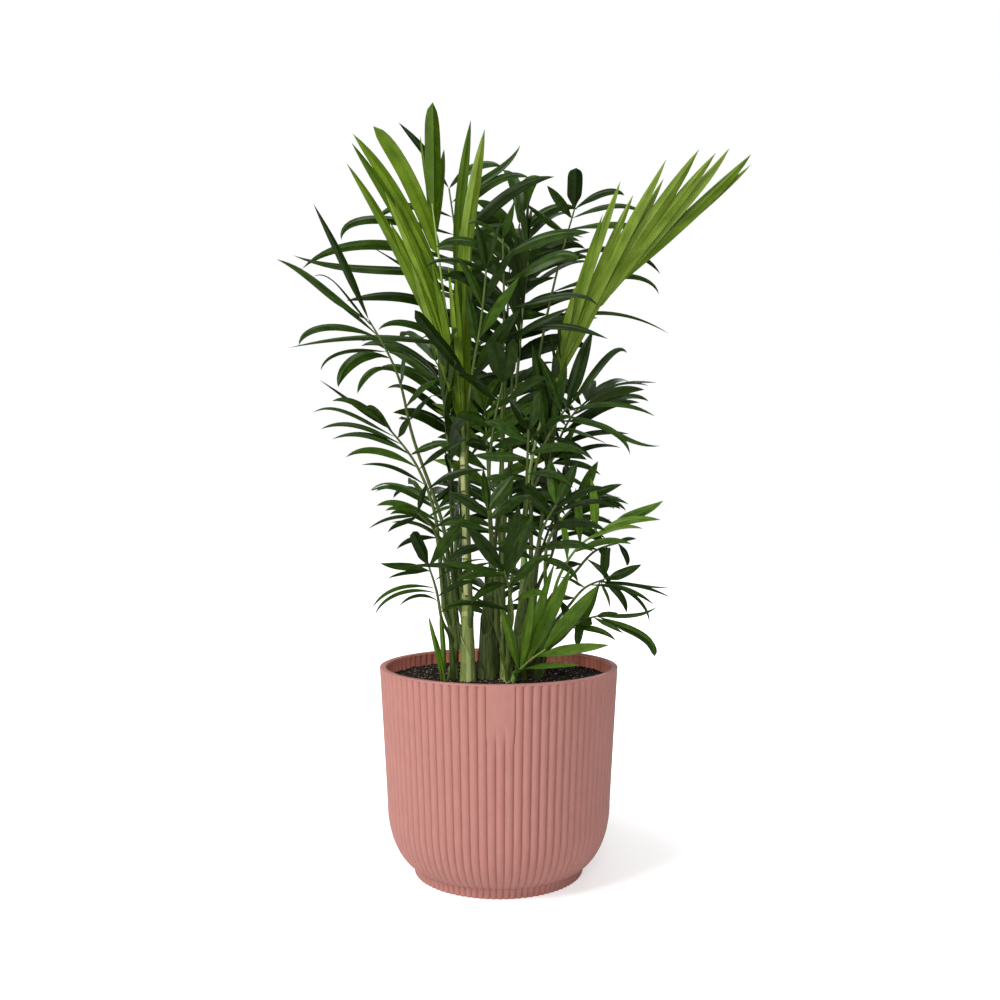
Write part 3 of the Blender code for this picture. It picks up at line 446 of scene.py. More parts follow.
SHEATH_LIP = ((1.0, 0.90, -0.0002), (1.0, WRAP_INSIDE, -0.003))
SHEATH_EDGE = 4
SHEATH_FLARE = 0.10
SHEATH_FLARE_HEIGHT = 0.012
SCALES = 3
SCALE_FOOT = 0.149
SCALE_OUT = 1.02
SCALE_HEIGHTS = (0.008, 0.020)
SCALE_SPREAD = 0.003
SCALE_WIDTHS = (0.7, 1.1)
SCALE_FORM = (0.5, 8, "scale")
RIB_ROWS = 44
RIB_SIDES = 10
STALK_SWELL = 0.0006
SWELL_FADE = 6
STALK_SUNK = 0.012
STALK_FOOT = ((0.014, 0.2), (0.008, 0.6), (0.003, 0.9))
STALK_FOOT_WIDER = 1.1
STALK_LOWEST = 0.148
PALE_STEMS = ("stem_cane", "stem_slim", "stem_front", "shoot_left")
SHOOT_BLADES = ((-55, -32, 196, 4.2), (-46, -30, 200, 4.6), (-51, -28, 184, 3.2))
SHOOT_APART = (0.0012, -0.001)
SHOOT_FACES = (0.3, -1, 0)
SHOOT_BEND = 4
SHOOT_FORM = (0.9, 6, "sword")
SHOOT_SEED = 3
STEM_SEEDS = 40

# Leaflet mesh: its rows, the places of its columns across it and how high each is pleated, the
# share of its length where it is fully wide and where it starts to narrow, how long the handles of
# its curve are by its droop, how its fold changes along it, and how much more its tip rolls.
LEAFLET_ROWS = 15
LEAFLET_PLACES = (-1.0, -0.76, -0.5, -0.25, 0.0, 0.25, 0.5, 0.76, 1.0)
LEAFLET_PLEATS = (0.0, 0.055, 0.0, 0.06, 0.16, 0.06, 0.0, 0.055, 0.0)
LEAFLET_THICKNESS = 0.0004
LEAST_HALF_WIDTH = 0.0003
WIDENS_TO = 0.36
NARROWS_FROM = 0.28
EARLY_PULL = (0.36, 0.1)
LATE_PULL = (0.34, 0.12, 0.4)
FOLD_ALONG = (0.4, 1.6, 0.5)
ROLL_ON = 1.3
LEAST_LIFT = 0.05

# Leaflet map: how far a leaflet reaches from the middle of its strip, as a share of the strip's
# width, and the margin at both ends of the strip
STRIP_HALF = 0.42
STRIP_MARGIN = 0.01

# Which way the upper sides of the leaflets seen from the front turn
SEEN_FACES = Vector((0, -0.9, 0.4))

# Grown leaflets: how far the two of a pair stand apart and each is moved along the rib, as shares
# of the way between pairs, by what their sizes and angles are multiplied, and how far their upper
# sides turn back along the rib and up. Each frond has its own seed.
SIDES_APART = 0.2
PLACE_VARIES = 0.12
SWING = 0.07
LENGTH_VARIES = (0.90, 1.04)
WIDTH_VARIES = (0.85, 1.15)
RISE_VARIES = (0.6, 1.4)
DROOP_VARIES = (0.5, 1.5)
LAST_PAIR_WIDER = 1.2
TURN_BACK = 0.15
TURN_UP = 0.4
FROND_SEEDS = 100

# Colours, as linear light: dark and light streaks of a leaflet's upper side, and its underside
Shade = namedtuple("Shade", "dark light under")

SHADES = {
    "spear": (
        Shade((0.052, 0.098, 0.003), (0.104, 0.172, 0.008), (0.140, 0.205, 0.050)),
        Shade((0.084, 0.138, 0.008), (0.160, 0.236, 0.028), (0.195, 0.270, 0.095)),
        Shade((0.030, 0.066, 0.002), (0.060, 0.112, 0.004), (0.115, 0.175, 0.040)),
    ),
    "fresh": (
        Shade((0.038, 0.085, 0.006), (0.074, 0.145, 0.010), (0.085, 0.150, 0.022)),
        Shade((0.052, 0.110, 0.008), (0.095, 0.175, 0.014), (0.105, 0.180, 0.032)),
        Shade((0.024, 0.060, 0.005), (0.048, 0.100, 0.008), (0.062, 0.120, 0.022)),
    ),
    "mature": (
        Shade((0.010, 0.026, 0.002), (0.026, 0.058, 0.004), (0.030, 0.054, 0.008)),
        Shade((0.018, 0.044, 0.003), (0.042, 0.090, 0.005), (0.042, 0.078, 0.012)),
        Shade((0.006, 0.016, 0.001), (0.014, 0.031, 0.002), (0.020, 0.036, 0.006)),
    ),
}

# How often each shade of a kind comes, and otherwise in the fronds that stand in the crown's own
# shade or in the light. The second shade of a kind is its lightest and the third its darkest.
SHADE_MIX = {"spear": (7, 2, 3), "fresh": (5, 3, 2), "mature": (5, 2, 3)}
SHADED_MIX = (4, 0, 5)
SHADED = ("frond_centre", "frond_centre_front", "frond_right", "frond_right_upper")
SUNLIT_MIX = (3, 8, 0)
SUNLIT = ("frond_spear_right",)

# Each kind's slot and roughness, how its underside differs, and the stalks' and canes' colours
LEAF_SLOTS = {"spear": "young_leaf", "fresh": "fresh_leaf", "mature": "leaf"}
LEAF_ROUGHNESS = {"spear": 0.42, "fresh": 0.38, "mature": 0.36}
UNDER_ROUGHER = 0.15
UNDER_STREAKS = 0.8
UPPER_SHINE = 0.10
UNDER_SHINE = 0.06
STALK_OF = {"spear": "stalk_young", "fresh": "stalk_fresh", "mature": "stalk_mature"}
STALK_COLOURS = {
    "stalk_young": ((0.150, 0.240, 0.050), (0.250, 0.350, 0.100)),
    "stalk_fresh": ((0.090, 0.180, 0.025), (0.160, 0.260, 0.050)),
    "stalk_mature": ((0.042, 0.070, 0.012), (0.095, 0.135, 0.028)),
    "dry_edge": ((0.060, 0.038, 0.014), (0.140, 0.095, 0.040)),
    "cane_ring": ((0.075, 0.095, 0.028), (0.130, 0.140, 0.050)),
    "cane_band": ((0.330, 0.370, 0.150), (0.480, 0.500, 0.240)),
    "cane_pale": ((0.400, 0.430, 0.150), (0.580, 0.590, 0.290)),
    "cane_deep": ((0.080, 0.115, 0.026), (0.160, 0.200, 0.055)),
    "sheath_pale": ((0.130, 0.175, 0.034), (0.270, 0.320, 0.100)),
    "sheath_deep": ((0.032, 0.052, 0.010), (0.105, 0.145, 0.032)),
    "margin_pale": ((0.260, 0.320, 0.110), (0.380, 0.440, 0.180)),
    "margin_deep": ((0.080, 0.125, 0.035), (0.150, 0.200, 0.070)),
}

# Stage: the camera, the floor, the surround, and each light's name, place, size across and power
CAMERA_LENS = 35.53
CAMERA_SENSOR = 36
CAMERA_TILT = math.radians(90.63)
STAGE_SIDE = 12.0
LIT_PLACE = (0, 0, 0.3)
SURROUND_SPAN = (-0.7, 0.9)
SURROUND_SHADE = (1.25, 0.2)
SURROUND_LIGHT = 0.30
# The floor's painted glow: its strength near the pot as the camera sees it, its strength in the light it throws
# on the plant, and the distances from the axis over which the camera's glow grows to full
FLOOR_GLOW = 0.50
FLOOR_GLOW_ON_PLANT = 0.22
GLOW_SPAN = (0.14, 0.34)
LIGHTS = (
    ("key", (-1.6, -1.3, 1.8), 1.0, 54),
    ("fill", (0.1, -2.0, 1.2), 1.0, 18),
    ("top", (-0.2, 0.2, 2.2), 1.2, 16),
    ("back", (0.9, 1.9, 1.4), 1.2, 9),
)


def spread(low, high, count):
    """Evenly spaced numbers with both ends."""
    return [low + (high - low) * i / (count - 1) for i in range(count)]


def smooth(value):
    """Eases a number from 0 to 1."""
    value = min(max(value, 0.0), 1.0)
    return value * value * (3 - 2 * value)


def compass(degrees):
    """The level direction at an angle from +X."""
    turn = math.radians(degrees)
    return Vector((math.cos(turn), math.sin(turn), 0))


def wall_faces(start, rings, sides):
    """Faces between stacked rings of points."""
    faces = []
    for low in range(start, start + (rings - 1) * sides, sides):
        for step in range(sides):
            after = (step + 1) % sides
            faces.append((low + step, low + after, low + sides + after, low + sides + step))
    return faces


def tube_faces(start, rings, sides):
    """Faces between stacked rings of points, then both ends."""
    last = start + (rings - 1) * sides
    ends = [tuple(range(start + sides - 1, start - 1, -1)), tuple(range(last, last + sides))]
    return wall_faces(start, rings, sides) + ends


def new_object(name, points, faces, materials, slots=None, sharp=50):
    """A smooth shaded mesh object, sharp where its faces turn by more than an angle in degrees."""
    mesh = bpy.data.meshes.new(name)
    mesh.from_pydata([tuple(point) for point in points], [], faces)
    mesh.update()
    mesh.shade_smooth()
    mesh.set_sharp_from_angle(angle=math.radians(sharp))
    for material in materials:
        mesh.materials.append(material)
    if slots is not None:
        mesh.polygons.foreach_set("material_index", slots)
    obj = bpy.data.objects.new(name, mesh)
    bpy.context.scene.collection.objects.link(obj)
    return obj


def place(obj, slot, *nodes):
    """The object stands for these nodes of the plant's one body."""
    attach(obj, "root")
    if nodes:
        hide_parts(*nodes)


# Materials


def map_range(tree, value, ends, results):
    """A node that turns a value between two ends into one between two results."""
    node = tree.nodes.new("ShaderNodeMapRange")
    for socket, number in zip(("From Min", "From Max", "To Min", "To Max"), (*ends, *results)):
        node.inputs[socket].default_value = number
    tree.links.new(value, node.inputs["Value"])
    return node


class Look:
    """A material under construction: a Principled shader with helpers that add nodes to it."""

    def __init__(self, name, roughness, specular):
        self.material = bpy.data.materials.new(name)
        self.material.use_nodes = True
        self.tree = self.material.node_tree
        self.shader = self.tree.nodes["Principled BSDF"]
        self.set("Roughness", roughness)
        self.set("Specular IOR Level", specular)

    def set(self, socket, value):
        self.shader.inputs[socket].default_value = value

    def node(self, kind):
        return self.tree.nodes.new(kind)

    def link(self, source, target):
        self.tree.links.new(source, target)

    def coordinates(self, scale=(1, 1, 1), output="Object"):
        """The object's own places, stretched by the three scales."""
        mapping = self.node("ShaderNodeMapping")
        mapping.inputs["Scale"].default_value = scale
        self.link(self.node("ShaderNodeTexCoord").outputs[output], mapping.inputs["Vector"])
        return mapping.outputs["Vector"]

    def noise(self, vector, scale, detail):
        """A noise pattern's value."""
        texture = self.node("ShaderNodeTexNoise")
        texture.inputs["Scale"].default_value = scale
        texture.inputs["Detail"].default_value = detail
        self.link(vector, texture.inputs["Vector"])
        return texture.outputs["Fac"]

    def paint(self, value, *stops):
        """Colours the surface by a value, from colour stops."""
        ramp = self.node("ShaderNodeValToRGB")
        elements = ramp.color_ramp.elements
        while len(elements) < len(stops):
            elements.new(0.5)
        for element, (position, colour) in zip(elements, stops):
            element.position = position
            element.color = (*colour, 1)
        self.link(value, ramp.inputs["Fac"])
        self.link(ramp.outputs["Color"], self.shader.inputs["Base Color"])

    def bump(self, height, distance, strength=1.0):
        """Raises the surface by a pattern."""
        bump = self.node("ShaderNodeBump")
        bump.inputs["Strength"].default_value = strength
        bump.inputs["Distance"].default_value = distance
        self.link(height, bump.inputs["Height"])
        self.link(bump.outputs["Normal"], self.shader.inputs["Normal"])


def pot_material(name, dark, light):
    """Matt coloured plastic with a fine grain and a faint mottle."""
    look = Look(name, roughness=0.5, specular=0.28)
    mottle = look.noise(look.coordinates((1, 1, 0.3)), scale=240, detail=3)
    look.paint(mottle, (0.3, dark), (0.7, light))
    look.bump(look.noise(look.coordinates(), scale=1500, detail=2), distance=0.00005)
    return look.material


def soil_material():
    """Dark damp compost."""
    look = Look("compost", roughness=0.85, specular=0.15)
    vector = look.coordinates()
    look.paint(look.noise(vector, scale=520, detail=5), *COMPOST)
    look.bump(look.noise(vector, scale=900, detail=4), distance=0.0006)
    return look.material


def crumb_material(name, dark, light):
    """Loose bits on the soil."""
    look = Look(name, roughness=0.8, specular=0.15)
    look.paint(look.noise(look.coordinates(), scale=700, detail=3), (0.35, dark), (0.7, light))
    return look.material


def leaf_material(name, dark, light, roughness, specular):
    """A leaf blade with fine streaks along it, by its own map."""
    look = Look(name, roughness, specular)
    streaks = look.noise(look.coordinates((9, 1.2, 1), "UV"), scale=6, detail=3)
    look.paint(streaks, (0.3, dark), (0.7, light))
    grain = look.noise(look.coordinates((26, 0.8, 1), "UV"), scale=5, detail=2)
    look.bump(grain, distance=0.00012, strength=0.8)
    return look.material


def stalk_material(name):
    """A stalk, cane or sheath with long streaks."""
    look = Look(name, roughness=0.45, specular=0.2)
    streaks = look.noise(look.coordinates((1, 1, 0.06)), scale=900, detail=3)
    dark, light = STALK_COLOURS[name]
    look.paint(streaks, (0.3, dark), (0.7, light))
    look.bump(streaks, distance=0.00015, strength=0.6)
    return look.material


def floor_material():
    """A white studio floor with a painted glow, so that it fades into the surround: the glow is weaker near the
    pot, where the floor's shadow shows, and weaker still in the light it throws on the plant.
    """
    look = Look("pale_floor", roughness=0.9, specular=0.0)
    look.set("Base Color", (0.8, 0.8, 0.8, 1))
    look.set("Emission Color", (1, 1, 1, 1))
    away = look.node("ShaderNodeVectorMath")
    away.operation = "LENGTH"
    look.link(look.coordinates(), away.inputs[0])
    near = map_range(look.tree, away.outputs["Value"], GLOW_SPAN, (FLOOR_GLOW, 1.0))
    camera_ray = look.node("ShaderNodeLightPath").outputs["Is Camera Ray"]
    glow = map_range(look.tree, camera_ray, (0.0, 1.0), (FLOOR_GLOW_ON_PLANT, 1.0))
    look.link(near.outputs["Result"], glow.inputs["To Max"])
    look.link(glow.outputs["Result"], look.shader.inputs["Emission Strength"])
    look.material.cycles.emission_sampling = "NONE"
    return look.material


# Pot


def pot_radius(height):
    """The pot's outer radius: a low foot that runs softly into a bowl, then an almost straight wall."""
    if height < BOWL_TOP:
        foot = FOOT_RADIUS - FOOT_FLARE * height
        below = min((BOWL_TOP - height) / (BOWL_TOP - FOOT_HEIGHT), 1)
        bowl = BOWL_LEAST_RADIUS + (BOWL_RADIUS - BOWL_LEAST_RADIUS) * math.sqrt(1 - below * below)
        softness = CREASE_SOFTNESS * below * min(height / FOOT_HEIGHT, 1)
        return (foot + bowl + math.hypot(foot - bowl, softness)) / 2
    share = (height - BOWL_TOP) / (POT_HEIGHT - BOWL_TOP)
    return BOWL_RADIUS + (RIM_RADIUS - BOWL_RADIUS) * share


def pot_profile():
    """Radius, height and the flutes' depth (below 0 within), from under the foot and over the lip."""
    rows = [(0.0, FOOT_RECESS, 0), (FLOOR_RADIUS, FOOT_RECESS, 0)]
    rows += [(FOOT_RADIUS - inwards, height, depth) for inwards, height, depth in FOOT_ROWS]
    rows.append((pot_radius(FOOT_EDGE[0]), FOOT_EDGE[1], 1))
    heights = spread(*CREASE_SPAN, CREASE_ROWS)
    heights += spread(CREASE_SPAN[1], BOWL_TOP, BOWL_ROWS + 1)[1:]
    heights += spread(BOWL_TOP, FLUTE_TOP - FLUTE_FADE, WALL_ROWS)[1:]
    rows += [(pot_radius(height), height, 1) for height in heights]
    for share in spread(0, 1, FADE_ROWS)[1:]:
        height = FLUTE_TOP - FLUTE_FADE * (1 - share)
        rows.append((pot_radius(height), height, 1 - smooth(share)))
    turns = spread(0, math.pi / 2, LIP_ROWS)
    for turn in turns:
        outwards = RIM_RADIUS - LIP_ROUNDING * (1 - math.cos(turn))
        rows.append((outwards, POT_HEIGHT - LIP_ROUNDING * (1 - math.sin(turn)), 0))
    for turn in turns:
        inwards = RIM_RADIUS - WALL + LIP_ROUNDING * (1 - math.sin(turn))
        rows.append((inwards, POT_HEIGHT - LIP_ROUNDING * (1 - math.cos(turn)), 0))
    for share in spread(0, 1, INNER_FADE_ROWS)[1:]:
        height = INNER_TOP - FLUTE_FADE * share
        rows.append((pot_radius(height) - WALL, height, -smooth(share)))
    rows += [(pot_radius(height) - WALL, height, -1) for height in INNER_HEIGHTS]
    return rows + [(FLOOR_RADIUS, FLOOR, 0), (0.0, FLOOR, 0)]


def flute_drop(turns, height, depth):
    """How far the wall lies below the flutes' crests at an angle, a plain panel in front left out."""
    share = (turns - FLUTE_TURN) / (2 * math.pi / FLUTES)
    place = share - np.round(share)
    least = math.sqrt(1 - FLUTE_ROUNDNESS)
    drop = (1 - np.sqrt(1 - FLUTE_ROUNDNESS * (2 * place) ** 2)) / (1 - least)
    if depth > 0:
        away = np.abs(share - FLUTES * np.round(share / FLUTES))
        plain = smooth((height - PANEL_BOTTOM) / PANEL_FADE)
        inside = np.clip((PANEL_FLUTES + PANEL_EDGE - away) / PANEL_EDGE, 0, 1)
        drop = drop * (1 - plain * inside)
    return drop * FLUTE_DEPTH * abs(depth)


def make_pot():
    """The fluted pot: rounded ribs outside and in, under a plain lip."""
    pitch = 2 * math.pi / FLUTES
    turns = np.array([FLUTE_TURN + pitch * (k + p) for k in range(FLUTES) for p in FLUTE_PLACES])
    points = []
    profile = pot_profile()
    count = len(turns)
    for radius, height, depth in profile[1:-1]:
        drop = flute_drop(turns, height, depth) * (radius / RIM_RADIUS)
        reach = radius - drop if depth >= 0 else radius + drop - FLUTE_DEPTH * INNER_CREST
        points.append(np.stack([reach * np.sin(turns), -reach * np.cos(turns), np.full(count, height)], 1))
    rings = len(points)
    points = np.concatenate([*points, [[0, 0, profile[0][1]], [0, 0, profile[-1][1]]]])
    faces = wall_faces(0, rings, count)
    top = (rings - 1) * count
    for side in range(count):
        faces.append((rings * count, (side + 1) % count, side))
    for side in range(count):
        faces.append((rings * count + 1, top + side, top + (side + 1) % count))
    within = len(profile) - 1 - INNER_ROWS
    # The inner wall's faces take the lighter inside colour, its painted light.
    slots = [1 if within <= number // count < rings - 1 else 0 for number in range(len(faces))]
    materials = [pot_material(*POT_OUTSIDE), pot_material(*POT_INSIDE_PAINTED_LIGHT)]
    place(new_object("pot_fluted", points, faces, materials, slots), "pot_plastic", "pot")


# Soil


def soil_surface(x, y):
    """The soil's lumpy surface: level under the clump, a little lower towards the wall."""
    share = max(0.0, (math.hypot(x, y) - SOIL_FLAT_RADIUS) / (SOIL_RADIUS - SOIL_FLAT_RADIUS))
    height = SOIL_TOP - SOIL_EDGE_DROP * share - SOIL_SINK
    for waves, layer, size in SOIL_LUMPS:
        height += noise.noise((x * waves, y * waves, layer)) * size
    return height


def make_soil():
    """A body of compost with a grainy top."""
    turns = [2 * math.pi * side / SOIL_SIDES for side in range(SOIL_SIDES)]
    points = [(0, 0, soil_surface(0, 0))]
    for ring in range(1, SOIL_RINGS + 1):
        radius = SOIL_RADIUS * (ring / SOIL_RINGS)
        for turn in turns:
            x, y = radius * math.cos(turn), radius * math.sin(turn)
            points.append((x, y, soil_surface(x, y)))
    for scale, height in SOIL_BODY:
        radius = SOIL_RADIUS * scale
        points += [(radius * math.cos(turn), radius * math.sin(turn), height) for turn in turns]
    points.append((0, 0, SOIL_BODY[-1][1]))
    rings = SOIL_RINGS + len(SOIL_BODY)
    last = 1 + (rings - 1) * SOIL_SIDES
    faces = [(a, d, c, b) for a, b, c, d in wall_faces(1, rings, SOIL_SIDES)]
    for side in range(SOIL_SIDES):
        after = (side + 1) % SOIL_SIDES
        faces.append((0, 1 + side, 1 + after))
        faces.append((last + after, last + side, len(points) - 1))
    place(new_object("soil_body", points, faces, [soil_material()], sharp=60), "soil", "soil")


def lump(rng, centre, size, flatness):
    """Points of a small uneven octahedron."""
    turn = rng.uniform(0, math.pi)
    cos, sin = math.cos(turn), math.sin(turn)
    points = []
    for x, y, z in LUMP_CORNERS:
        reach = size * rng.uniform(*LUMP_SIZES)
        points.append((
            centre[0] + (x * cos - y * sin) * reach * rng.uniform(*LUMP_STRETCH),
            centre[1] + (x * sin + y * cos) * reach * rng.uniform(*LUMP_STRETCH),
            centre[2] + z * reach * flatness + rng.uniform(-LUMP_SHIFT, LUMP_SHIFT) * reach,
        ))
    return points


def make_bits(piece, name, count, sizes, flatness, seed, dark, light):
    """Loose bits strewn over the soil, sunk in by about half."""
    rng = Random(seed)
    points, faces = [], []
    for _ in range(count):
        radius = (SOIL_RADIUS - BITS_FROM_WALL) * math.sqrt(rng.random())
        turn = rng.uniform(0, 2 * math.pi)
        x, y = radius * math.cos(turn), radius * math.sin(turn)
        size = rng.uniform(*sizes)
        start = len(points)
        points += lump(rng, (x, y, soil_surface(x, y) + size * BITS_PROUD), size, flatness)
        faces += [tuple(start + corner for corner in face) for face in LUMP_FACES]
    place(new_object(piece, points, faces, [crumb_material(name, dark, light)], sharp=25), "soil")


# Stems


def stem_centre(stem, height):
    """The stem rises straight from the soil and leans more as it goes up."""
    foot = Vector((*stem.foot_xy, SOIL_TOP))
    share = max(0.0, (height - SOIL_TOP) / (stem.top[2] - SOIL_TOP))
    lean = (Vector(stem.top) - foot) * share**STEM_LEAN_POWER
    return Vector((foot.x + lean.x, foot.y + lean.y, height))


def stem_radius(stem, height):
    """Wide and slowly tapering in the sheath, then a slim cane."""
    within = (height - SOIL_TOP) / (stem.sheath - SOIL_TOP)
    sheath_radius = stem.foot_radius * (1 - SHEATH_TAPER * min(within, 1))
    fade = min(max((height - stem.sheath) / SHEATH_FADE, 0), 1)
    return sheath_radius + (stem.top_radius - sheath_radius) * fade


def tube(centres, radii, sides):
    """Points and faces of a closed round tube through the centres."""
    points = []
    out = None
    for number, (centre, radius) in enumerate(zip(centres, radii)):
        before = centres[max(number - 1, 0)]
        after = centres[min(number + 1, len(centres) - 1)]
        along = (after - before).normalized()
        if out is None:
            out = along.orthogonal().normalized()
        out = (out - along * out.dot(along)).normalized()
        side = along.cross(out)
        for step in range(sides):
            turn = 2 * math.pi * step / sides
            points.append(centre + (out * math.cos(turn) + side * math.sin(turn)) * radius)
    return points, tube_faces(0, len(centres), sides)


def ring_heights(stem, rng):
    """Where old leaves have left a ring round the bare cane."""
    if stem.name in RINGS:
        return RINGS[stem.name]
    heights = []
    height = stem.sheath + RING_MARGIN
    while height < stem.top[2] - RING_MARGIN:
        heights.append(height)
        height += rng.uniform(*RING_SPACING)
    return heights


def make_cane(stem, materials, rng):
    """A slim cane with a raised ring at each old leaf, pale just below it."""
    end = stem.top[2]
    rows = [(height, 1.0, 0) for height in spread(SOIL_TOP - CANE_SUNK, end, CANE_ROWS + 1)]
    for height in ring_heights(stem, rng):
        rows = [row for row in rows if abs(row[0] - height) > RING_CLEAR]
        rows += [(height + rise, swell, slot) for rise, swell, slot in RING_ROWS]
    rows.sort()
    centres, radii, slots = [], [], []
    for height, swell, slot in rows:
        narrowing = (stem.top_radius - STALK_RADIUS) * smooth((height - end + CANE_END) / CANE_END)
        centres.append(stem_centre(stem, height))
        radii.append((stem.top_radius - narrowing) * swell)
        slots += [slot] * CANE_SIDES
    slots = slots[:-CANE_SIDES] + [0, 0]
    cane = new_object(stem.name + "_cane", *tube(centres, radii, CANE_SIDES), materials, slots)
    place(cane, "stem", stem.name)


def add_sheath(stem, wrap, points, faces, slots):
    """A leaf's sheath: rolled round the cane with one edge over the other, open in a V above there."""
    start = len(points)
    foot = SOIL_TOP - SHEATH_SUNK
    layers = [(row / SHEATH_ROWS, 1.0, 0.0) for row in range(SHEATH_ROWS + 1)]
    layers += SHEATH_LIP
    for share, narrow, drop in layers:
        for column in range(SHEATH_COLUMNS):
            angle = 2 * math.pi / SHEATH_COLUMNS * column
            away = min(angle, 2 * math.pi - angle)
            top = wrap.top - wrap.notch * math.exp(-(away**2))
            height = foot + (top - foot) * share + drop
            flare = 1 + SHEATH_FLARE * max(0.0, 1 - (height - SOIL_TOP) / SHEATH_FLARE_HEIGHT)
            radius = stem_radius(stem, min(height, stem.sheath))
            radius *= wrap.scale * (1 + SHEATH_LAP * angle / (2 * math.pi)) * narrow * flare
            points.append(stem_centre(stem, height) + compass(wrap.turn + math.degrees(angle)) * radius)
    faces += tube_faces(start, len(layers), SHEATH_COLUMNS)
    for layer in range(len(layers) - 1):
        for column in range(SHEATH_COLUMNS):
            edge = column >= SHEATH_COLUMNS - SHEATH_EDGE or layer >= SHEATH_ROWS - 1
            slots.append(2 if layer >= SHEATH_ROWS else int(edge))
    slots += [0, 1]


def make_sheaths(stem, materials, rng):
    """Two or three sheaths, each within the one outside it and a little taller."""
    points, faces, slots = [], [], []
    face = WRAP_FACES.get(stem.name, rng.uniform(-180, 0))
    for scale, rise, below_top, notch, turn in WRAPS:
        wrap = Wrap(scale, min(stem.sheath + rise, stem.top[2] - below_top), notch, face + turn)
        if stem.foot_radius * scale * WRAP_INSIDE > stem.top_radius * WRAP_ROOM:
            add_sheath(stem, wrap, points, faces, slots)
    if faces:
        sheath = new_object(stem.name + "_sheath", points, faces, materials, slots, sharp=35)
        place(sheath, "stem", stem.name)


def make_scales(stem, materials, rng):
    """Short pointed scales round a stem's foot."""
    points, faces, slots = [], [], []
    for number in range(SCALES):
        angle = rng.uniform(0, 2 * math.pi)
        away = Vector((math.cos(angle), math.sin(angle), 0))
        base = stem_centre(stem, SCALE_FOOT) + away * stem.foot_radius * SCALE_OUT
        reach = UP * rng.uniform(*SCALE_HEIGHTS) + away * rng.uniform(0.000, SCALE_SPREAD)
        width = stem.foot_radius * rng.uniform(*SCALE_WIDTHS)
        add_leaflet(base, reach, away, Form(0, 0, width, *SCALE_FORM), rng, points, faces)
        slots += [number % 2] * len(LEAFLET_FACES)
    scales = new_object(stem.name + "_scales", points, faces, materials, slots)
    place(scales, "stem", stem.name)


def make_shoot(stem, materials):
    """A young shoot: narrow blades that are still folded together."""
    rng = Random(SHOOT_SEED)
    normal = Vector(SHOOT_FACES).normalized()
    points, faces, slots = [], [], []
    for number, (x, y, z, width) in enumerate(SHOOT_BLADES):
        apart = Vector((SHOOT_APART[0] * (number - 1), SHOOT_APART[1] * number, 0))
        base = stem_centre(stem, STALK_LOWEST) + apart
        form = Form(SHOOT_BEND, SHOOT_BEND, width / 1000, *SHOOT_FORM)
        add_leaflet(base, seen_place(x, y, z) - base, normal, form, rng, points, faces)
        slots += [0] * UPPER_FACES + [1] * UPPER_FACES
    shoot = new_object(stem.name + "_blades", points, faces, materials, slots)
    place(shoot, "stem", stem.name)


# Fronds


def spine_of(frond):
    """The points that a frond's stalk and rib pass through: foot, hug, neck, middle, end."""
    stem = STEM_NAMED[frond.stem]
    neck = Vector(frond.neck)
    if frond.side is None:
        foot = stem_centre(stem, frond.height) + UP * GAP
        hug = foot + UP * min(HUG_LENGTH, (neck - foot).length / 3)
    else:
        clear = compass(frond.side) * (stem_radius(stem, frond.height) + STALK_RADIUS + GAP * 2)
        foot = stem_centre(stem, frond.height) + clear
        rise = min(HUG_LENGTH, (neck.z - frond.height) / 2)
        hug = stem_centre(stem, frond.height + rise) + clear
    return [foot, hug, neck, Vector(frond.middle), Vector(frond.end)]


def slopes(points):
    """The direction of a smooth curve at each of its points, by the length of the spans."""
    spans = [(b - a).length for a, b in zip(points, points[1:])]
    ways = [(b - a) / span for a, b, span in zip(points, points[1:], spans)]
    inner = [
        (ways[i] * spans[i + 1] + ways[i + 1] * spans[i]) / (spans[i] + spans[i + 1])
        for i in range(len(ways) - 1)
    ]
    return [ways[0], *inner, ways[-1] * 1.5 - inner[-1] * 0.5]


def on_curve(points, place):
    """The point and the direction of the smooth curve, where place 1.5 is half-way from point 1 to 2."""
    start = min(int(place), len(points) - 2)
    t = place - start
    ways = slopes(points)
    a, b = points[start], points[start + 1]
    span = (b - a).length
    first, second = ways[start] * span, ways[start + 1] * span
    point = (
        a * (2 * t**3 - 3 * t**2 + 1)
        + first * (t**3 - 2 * t**2 + t)
        + b * (3 * t**2 - 2 * t**3)
        + second * (t**3 - t**2)
    )
    way = (
        a * (6 * t**2 - 6 * t)
        + first * (3 * t**2 - 4 * t + 1)
        + b * (6 * t - 6 * t**2)
        + second * (3 * t**2 - 2 * t)
    )
    return point, way.normalized()


def axes(frond, along):
    """The directions across a frond and out of its upper side, where its rib runs along."""
    across = UP.cross(compass(frond.faces))
    across = (across - along * across.dot(along)).normalized()
    return across, across.cross(along)


def leaflet_reach(frond, share, side, along):
    """The vector from the rib to a leaflet's tip, a share of the way up the leafy rib."""
    kind = KINDS[frond.kind]
    across, upper = axes(frond, along)
    opening = math.radians(kind.open_neck + (kind.open_end - kind.open_neck) * share)
    if share > LAST_PAIR:
        opening = math.radians(kind.open_tip)
    raised = math.radians(kind.raised)
    if share < kind.peak:
        size = kind.first + (1 - kind.first) * share / kind.peak
    else:
        size = 1 + (kind.last - 1) * (share - kind.peak) / (1 - kind.peak)
    outwards = across * (side * math.cos(raised)) + upper * math.sin(raised)
    way = along * math.cos(opening) + outwards * math.sin(opening)
    return (way - UP * kind.sink) * (frond.leaf * size)


